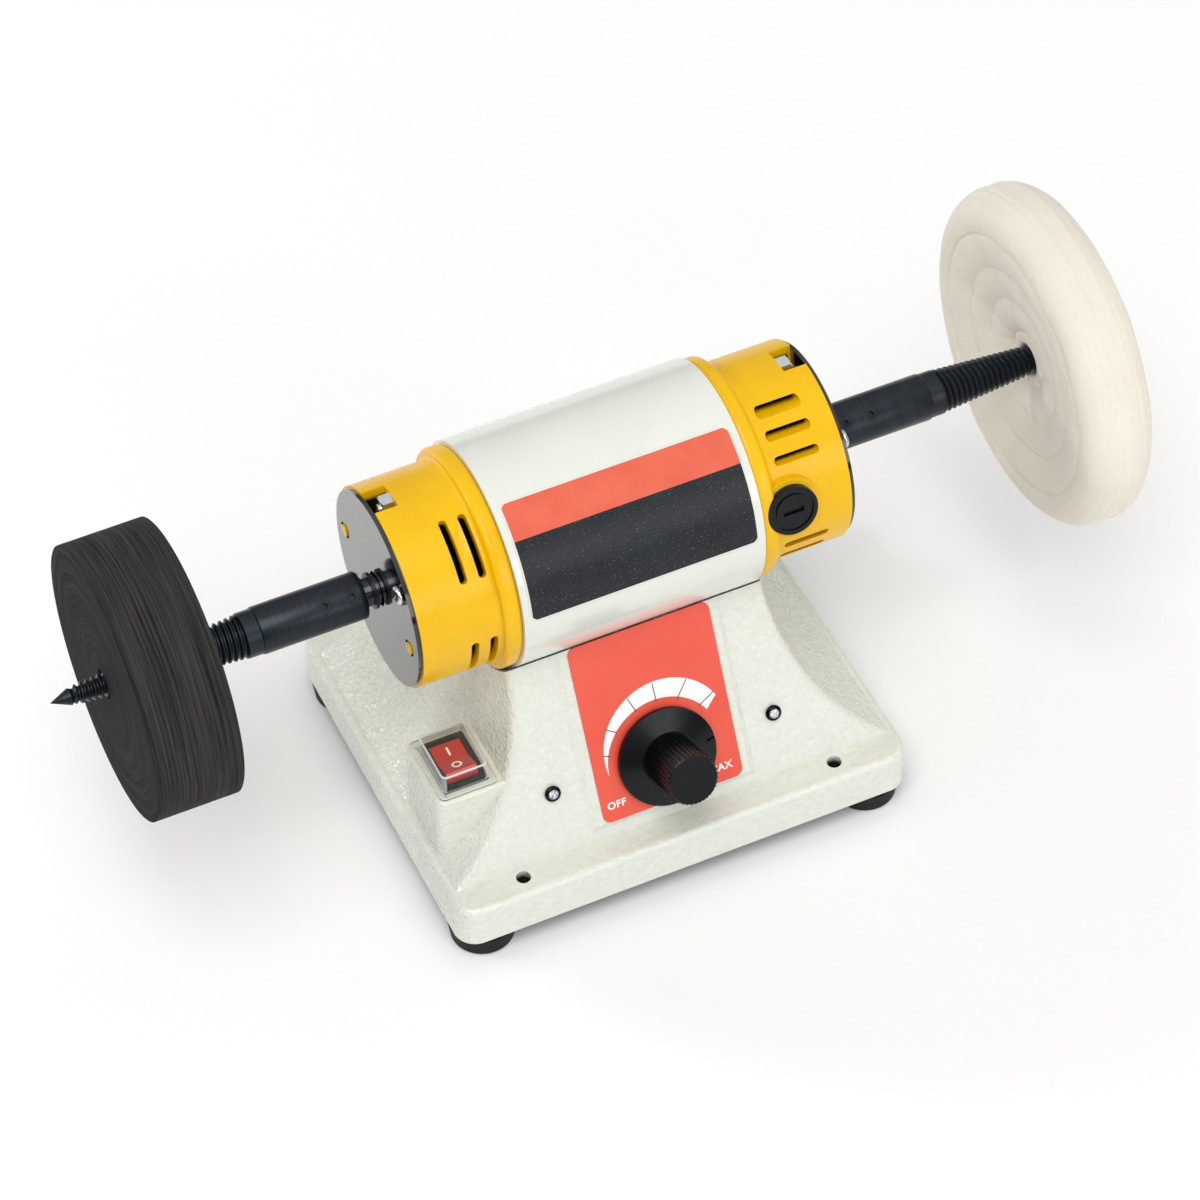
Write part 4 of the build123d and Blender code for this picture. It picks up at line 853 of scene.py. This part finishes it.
def add_lumps(piece):
    """Swell the cotton into slow lumps."""
    lumps = bpy.data.textures.new("cotton_lumps", "CLOUDS")
    lumps.noise_scale = LUMP_SIZE * MM
    swell = piece.modifiers.new("lumps", "DISPLACE")
    swell.texture = lumps
    swell.texture_coords = "LOCAL"
    swell.strength = LUMP_HEIGHT * MM
    swell.mid_level = 0.75
    apply_modifiers(piece)


def cotton_buff():
    """The buff, drawn from its hub over one face, the rim and the other face, gathered and swelled into lumps."""
    radii = [HUB_RADIUS + (BUFF_SHOULDER - HUB_RADIUS) * step / FACE_RINGS for step in range(FACE_RINGS + 1)]
    near = [(BUFF_NEAR + buff_sink(radius), radius) for radius in radii]
    far = [(BUFF_FAR - buff_sink(radius), radius) for radius in reversed(radii)]
    hub_near = BUFF_NEAR + BUFF_DISH
    hub_far = BUFF_FAR - BUFF_DISH
    hub = (hub_near + HUB_STEP, crest_radius(hub_near) + HUB_FIT)
    back = (hub_far - HUB_STEP, crest_radius(hub_far) + HUB_FIT)
    piece = lathe("stitched_cotton_buff", [hub, *near, *buff_rim_points(), *far, back, hub], 200)
    gather_faces(piece)
    add_lumps(piece)
    to_shaft(piece)
    smooth(piece, 60.0)
    seat(piece, "rotor", "cotton", "cotton", "cotton_buff")


STITCH_PITCH = 3.4
STITCH_SIZE = (0.3, 1.35, 0.3)
STITCH_REST = 0.15


def stitch_ring(name, radius, face_x):
    """A ring of short stitches lying in its crease."""
    rest()
    count = round(math.tau * radius / STITCH_PITCH)
    bpy.ops.mesh.primitive_ico_sphere_add(
        subdivisions=1, radius=MM, location=(face_x * MM, 0, radius * MM), scale=STITCH_SIZE
    )
    piece = bpy.context.object
    piece.name = name
    put(piece)
    bpy.ops.object.empty_add(rotation=(math.tau / count, 0, 0))
    turner = bpy.context.object
    repeat = piece.modifiers.new("round", "ARRAY")
    repeat.count = count
    repeat.use_relative_offset = False
    repeat.use_object_offset = True
    repeat.offset_object = turner
    apply_modifiers(piece)
    bpy.data.objects.remove(turner)
    to_shaft(piece)
    smooth(piece, 70.0)
    seat(piece, "rotor", "cotton", "stitch")


cotton_buff()
for ring in STITCH_RINGS:
    stitch_ring(f"stitches_near_{round(ring)}", ring, BUFF_NEAR + buff_sink(ring) + STITCH_REST)
    stitch_ring(f"stitches_far_{round(ring)}", ring, BUFF_FAR - buff_sink(ring) - STITCH_REST)


# Cross-head screws
PLATE_SCREW_CIRCLE = 30.0
PLATE_SCREW_ANGLES = (139.0, 319.0)
PLATE_CROSS = (0, 0.8, 0.6)
FRONT_CROSS_TURN = math.radians(37.775)


def cross_head(matrix, radius, height, shank_radius, shank_length):
    """Pan head with a cross recess, on its shank, seated on a placing's plane."""
    head = cylinder(radius, 0.0, height, 48)
    crown = head.modifiers.new("crown", "BEVEL")
    crown.width = height * 0.6 * MM
    crown.segments = 6
    crown.limit_method = "ANGLE"
    apply_modifiers(head)
    for turn in (0, math.pi / 2):
        carve(head, block((radius * 1.15, radius * 0.24, height * 1.1), (0, 0, height), turn))
    shank = cylinder(shank_radius, -shank_length, 0.0, 24)
    piece = join([head, shank], "cross_screw")
    put(piece, matrix)
    smooth(piece, 40.0)
    return piece


def plate_screws():
    """Two zinc screws in each end plate."""
    heads = []
    for side in (-1, 1):
        for angle in PLATE_SCREW_ANGLES:
            origin = round_shaft(side * PLATE_FACE, PLATE_SCREW_CIRCLE, angle)
            matrix = frame_matrix(origin, PLATE_CROSS, (side, 0, 0))
            heads.append(cross_head(matrix, radius=3.2, height=2.2, shank_radius=1.5, shank_length=7.9))
    seat(join(heads, "plate_cross_screws"), "stand", "zinc_steel", "zinc_steel", "plate_screws")


def front_screws():
    """Two dark screws beside the dial panel."""
    heads = []
    for side in (-1, 1):
        turn = Matrix.Rotation(side * FRONT_CROSS_TURN, 4, "Z")
        matrix = face_matrix(side * FRONT_SCREW_X, FACE_ROW, 0.0) @ turn
        heads.append(cross_head(matrix, radius=2.9, height=1.6, shank_radius=2.0, shank_length=9.2))
    seat(join(heads, "front_cross_screws"), "stand", "dark_steel", "screw_steel", "front_screws")


plate_screws()
front_screws()


# Hexagon nuts on the tie rods, with their outer corners turned off
NUT_HEIGHT = 4.5
NUT_SEAT = span_of("tie_nuts")[1][0] - NUT_HEIGHT
NUT_FLATS = 7.8
NUT_BORE = 2.05
ROD_CIRCLE = 31.0
ROD_ANGLES = (79.0, 259.0)


def hex_nut(matrix):
    """A nut that stands on a placing's plane."""
    corner = NUT_FLATS / 2 / math.cos(math.pi / 6)
    lid = NUT_FLATS / 2 * 0.96
    drop = (corner - lid) * math.tan(math.pi / 6)
    nut = cylinder(corner, 0.0, NUT_HEIGHT, 6)
    turned = lathe("nut_blank", [
        (0.0, 0.0), (0.0, corner), (NUT_HEIGHT - drop, corner), (NUT_HEIGHT, lid), (NUT_HEIGHT, 0.0),
    ], 48)
    put(turned, Matrix.Rotation(-math.pi / 2, 4, "Y"))
    carve(nut, turned, "INTERSECT")
    carve(nut, cylinder(NUT_BORE, -2 * NUT_HEIGHT, 2 * NUT_HEIGHT, 40))
    put(nut, matrix)
    smooth(nut, 25.0)
    return nut


def tie_nuts():
    """One nut on each end of each tie rod."""
    nuts = []
    for side in (-1, 1):
        for angle in ROD_ANGLES:
            origin = round_shaft(side * NUT_SEAT, ROD_CIRCLE, angle)
            nuts.append(hex_nut(frame_matrix(origin, (0, 0, 1), (side, 0, 0))))
    seat(join(nuts, "tie_rod_nuts"), "stand", "zinc_steel", "zinc_steel", "tie_nuts")


tie_nuts()


# Print on the dial panel: a widening scale with its ticks and two words
PRINT = 0.05
SCALE_CENTRE = (1.5, 27.9)
SCALE_RADIUS = 23.0
SCALE_INNER_RADIUS = 20.9
SCALE_END_INNER = Vector((17.6, 33.7, 0.0))
SCALE_END_OUTER = Vector((23.8, 36.4, 0.0))
TICK_WIDTH = 0.34
TICKS = (
    ((-21.6, 30.7), (-19.2, 29.7)), ((-18.6, 39.6), (-15.0, 37.4)), ((-9.0, 48.2), (-6.8, 42.4)),
    ((0.8, 50.3), (0.9, 43.4)), ((13.0, 47.7), (8.4, 41.7)), ((21.5, 39.6), (15.5, 36.4)),
)
WORD_SIZE = 3.7
WORD_WEIGHT = 0.1


def dial_scale():
    """A crescent between two circles, cut square at its wide end."""
    piece = cylinder(SCALE_RADIUS, 0.0, PRINT, 200, SCALE_CENTRE)
    piece.name = "dial_scale"
    carve(piece, cylinder(SCALE_INNER_RADIUS, -0.5, 0.5, 200, (0.0, FACE_ROW)))
    along = SCALE_END_OUTER - SCALE_END_INNER
    pick(piece)
    bpy.ops.object.mode_set(mode="EDIT")
    bpy.ops.mesh.select_all(action="SELECT")
    bpy.ops.mesh.bisect(plane_co=SCALE_END_INNER * MM, plane_no=(along.y, -along.x, 0), use_fill=True,
                        clear_outer=True)
    bpy.ops.object.mode_set(mode="OBJECT")
    mend(piece)
    put(piece, face_matrix(0.0, 0.0, PANEL_FACE))
    smooth(piece, 30.0)
    seat(piece, "stand", "red_panel", "white_print")


def dial_ticks():
    """Thin bars across the scale."""
    bars = []
    for (x0, s0), (x1, s1) in TICKS:
        size = (math.hypot(x1 - x0, s1 - s0), TICK_WIDTH, PRINT * 1.2)
        bars.append(block(size, ((x0 + x1) / 2, (s0 + s1) / 2, PRINT), math.atan2(s1 - s0, x1 - x0)))
    piece = join(bars, "dial_ticks")
    put(piece, face_matrix(0.0, 0.0, PANEL_FACE))
    seat(piece, "stand", "red_panel", "tick_print")


def dial_word(word, x, up):
    """A printed word, centred on a point of the dial face."""
    rest()
    bpy.ops.object.text_add()
    text = bpy.context.object
    text.data.body = word
    text.data.size = WORD_SIZE * MM
    text.data.align_x = "CENTER"
    text.data.align_y = "CENTER"
    text.data.offset = WORD_WEIGHT * MM
    text.data.space_character = 1.1
    text.data.extrude = PRINT / 2 * MM
    bpy.ops.object.convert(target="MESH")
    piece = bpy.context.object
    piece.name = "word_" + word.lower()
    put(piece, face_matrix(x, up, PANEL_FACE + PRINT / 2))
    seat(piece, "stand", "red_panel", "white_print")


dial_scale()
dial_ticks()
dial_word("OFF", -20.5, 11.6)
dial_word("MAX", 18.6, 11.2)


# Clear cover over the rocker: a drafted shell on a thin flange
COVER_FOOT = (18.6, 25.0)
COVER_TOP = (16.6, 21.0)
COVER_FLANGE = (COVER_HIGH.x - COVER_LOW.x, COVER_HIGH.y - COVER_LOW.y)
COVER_FLANGE_HEIGHT = 1.0
COVER_HEIGHT = COVER_HIGH.z - COVER_LOW.z
COVER_WALL = 0.9
COVER_CORNER = 2.0
COVER_POLISH = 0.42


def drafted_block(foot, top, low, high, corner, polish=0.0):
    """A block whose top is smaller than its foot, with rounded corners and polished edges."""
    piece = block((*foot, high - low), (0, 0, (low + high) / 2))
    middle = (low + high) / 2 * MM
    for point in piece.data.vertices:
        if point.co.z > middle:
            point.co.x *= top[0] / foot[0]
            point.co.y *= top[1] / foot[1]
    bpy.ops.object.mode_set(mode="EDIT")
    bpy.ops.mesh.select_mode(type="EDGE")
    bpy.ops.mesh.select_all(action="DESELECT")
    bpy.ops.object.mode_set(mode="OBJECT")
    for edge in piece.data.edges:
        ends = [piece.data.vertices[index].co.z > middle for index in edge.vertices]
        edge.select = ends[0] != ends[1]
    bpy.ops.object.mode_set(mode="EDIT")
    bpy.ops.mesh.bevel(offset=corner * MM, segments=6, affect="EDGES")
    bpy.ops.object.mode_set(mode="OBJECT")
    if polish:
        edges = piece.modifiers.new("polish", "BEVEL")
        edges.width = polish * MM
        edges.segments = 2
        edges.limit_method = "ANGLE"
        edges.angle_limit = math.radians(50.0)
        apply_modifiers(piece)
    return piece


def clear_cover():
    """The hollow shell, its flange and the room inside it."""
    shell = drafted_block(COVER_FOOT, COVER_TOP, 0.2, COVER_HEIGHT, COVER_CORNER, COVER_POLISH)
    flange = drafted_block(COVER_FLANGE, COVER_FLANGE, 0.0, COVER_FLANGE_HEIGHT, COVER_CORNER,
                           COVER_POLISH / 2)
    carve(shell, flange, "UNION")
    room_foot = [size - 2 * COVER_WALL for size in COVER_FOOT]
    room_top = [size - 2 * COVER_WALL for size in COVER_TOP]
    room = drafted_block(room_foot, room_top, -0.1, COVER_HEIGHT - COVER_WALL, COVER_CORNER - COVER_WALL)
    carve(shell, room)
    middle = (COVER_LOW + COVER_HIGH) / 2
    put(shell, Matrix.Translation(Vector((middle.x, middle.y, COVER_LOW.z)) * MM))
    shell.name = "clear_switch_cover"
    smooth(shell, 17.0)
    seat(shell, "stand", "clear_plastic", "clear_plastic", "switch_cover")


clear_cover()


# Marks on the rocker, which lies tipped with its rear half pressed
ROCKER = Vector(JOINTS["rocker_tip"]["pos_m"]) / MM
ROCKER_TILT = math.radians(JOINTS["rocker_tip"]["range_deg"][1] / 2)
ROCKER_SLOPE = math.atan2(1.4, 7.4)
MARK_REACH = 3.7
MARK_RISE = 4.3
STROKE_SIZE = (0.75, 3.6, 0.1)
RING_RADIUS = 1.5
RING_WIRE = 0.36
RING_FLATTEN = 0.15


def rocker_matrix(end):
    """Placing in the middle of one half of the rocker's top; end is 1 at the rear and -1 in front."""
    slope = end * ROCKER_SLOPE - ROCKER_TILT
    turned = Matrix.Rotation(-ROCKER_TILT, 4, "X") @ Vector((0, end * MARK_REACH, MARK_RISE))
    normal = Vector((0, -math.sin(slope), math.cos(slope)))
    return frame_matrix(ROCKER + turned, (1, 0, 0), normal)


def rocker_marks():
    """A stroke on the rear half and a ring on the front half."""
    stroke = block(STROKE_SIZE)
    put(stroke, rocker_matrix(1))
    rest()
    bpy.ops.mesh.primitive_torus_add(major_radius=RING_RADIUS * MM, minor_radius=RING_WIRE * MM,
                                     major_segments=48, minor_segments=12)
    ring = bpy.context.object
    ring.scale.z = RING_FLATTEN
    put(ring)
    put(ring, rocker_matrix(-1))
    piece = join([stroke, ring], "rocker_marks")
    smooth(piece, 40.0)
    seat(piece, "rocker", "red_plastic", "white_print")


rocker_marks()


# Floor, light and camera
FLOOR_SIZE = 8.0
LAMP_TARGET = Vector((0, 0, 0.09))
WORLD_LEVEL = 0.52
CAMERA_EYE = (-462.7, -1061.5, 1363.6)
CAMERA_RIGHT = (0.9076, -0.4194, -0.0192)
CAMERA_BACK = (-0.2672, -0.6122, 0.7442)
CAMERA_LENS = 151.8


def white_floor():
    """A wide pale floor that takes the object's shadow."""
    rest()
    bpy.ops.mesh.primitive_plane_add(size=FLOOR_SIZE)
    floor = bpy.context.object
    floor.name = "floor"
    sheet, shader = blank_finish("pale_floor")
    slow = sheet.noise(sheet.place(), 6.0)
    sheet.feed(shader.inputs["Base Color"], sheet.mix(slow, (0.93, 0.93, 0.93, 1), (0.95, 0.95, 0.95, 1)))
    shader.inputs["Roughness"].default_value = 0.9
    shader.inputs["Specular IOR Level"].default_value = 0.1
    floor.data.materials.append(FINISH["pale_floor"])


def studio_world():
    """White where it is seen directly or through the cover, and brighter above than about in reflections."""
    world = bpy.data.worlds.new("studio")
    bpy.context.scene.world = world
    world.use_nodes = True
    sheet = Sheet(world.node_tree)
    rays = sheet.add("ShaderNodeLightPath").outputs
    rise = sheet.split(sheet.add("ShaderNodeTexCoord").outputs["Generated"])["Z"]
    seen = sheet.math("MAXIMUM", rays["Is Camera Ray"], rays["Is Transmission Ray"])
    mirrored = sheet.times(rays["Is Glossy Ray"], sheet.span(rise, 0.15, 0.85, -0.3, 0.5))
    strength = sheet.math("MAXIMUM", seen, sheet.math("ADD", mirrored, WORLD_LEVEL))
    background = world.node_tree.nodes["Background"]
    background.inputs["Color"].default_value = (1, 1, 1, 1)
    sheet.feed(background.inputs["Strength"], strength)


def hang(name, data):
    """Put a lamp or camera into the scene."""
    thing = bpy.data.objects.new(name, data)
    bpy.context.scene.collection.objects.link(thing)
    return thing


def soft_sun(name, place, strength, angle):
    """Even light over the whole floor, with a soft edge to its shadows."""
    data = bpy.data.lights.new(name, "SUN")
    data.energy = strength
    data.angle = math.radians(angle)
    lamp = hang(name, data)
    lamp.rotation_euler = (-Vector(place)).to_track_quat("-Z", "Y").to_euler()


def soft_lamp(name, place, size, power):
    """A square lamp that points at the middle of the object."""
    data = bpy.data.lights.new(name, "AREA")
    data.size = size
    data.energy = power
    lamp = hang(name, data)
    lamp.location = place
    lamp.rotation_euler = (LAMP_TARGET - Vector(place)).to_track_quat("-Z", "Y").to_euler()


def photo_camera():
    """The camera at the photograph's viewing angle."""
    data = bpy.data.cameras.new("camera")
    data.sensor_width = 36.0
    data.lens = CAMERA_LENS
    data.clip_end = 20.0
    camera = hang("camera", data)
    camera.matrix_world = frame_matrix(CAMERA_EYE, CAMERA_RIGHT, CAMERA_BACK)
    bpy.context.scene.camera = camera


white_floor()
studio_world()
soft_sun("key", place=(-0.3, -0.55, 1.3), strength=1.52, angle=40.0)
soft_lamp("front", place=(0.5, -1.6, 0.7), size=0.8, power=5.0)
soft_lamp("glint", place=(-1.0, 0.5, 0.6), size=0.12, power=2.6)
photo_camera()
bpy.context.scene.view_settings.view_transform = "Standard"
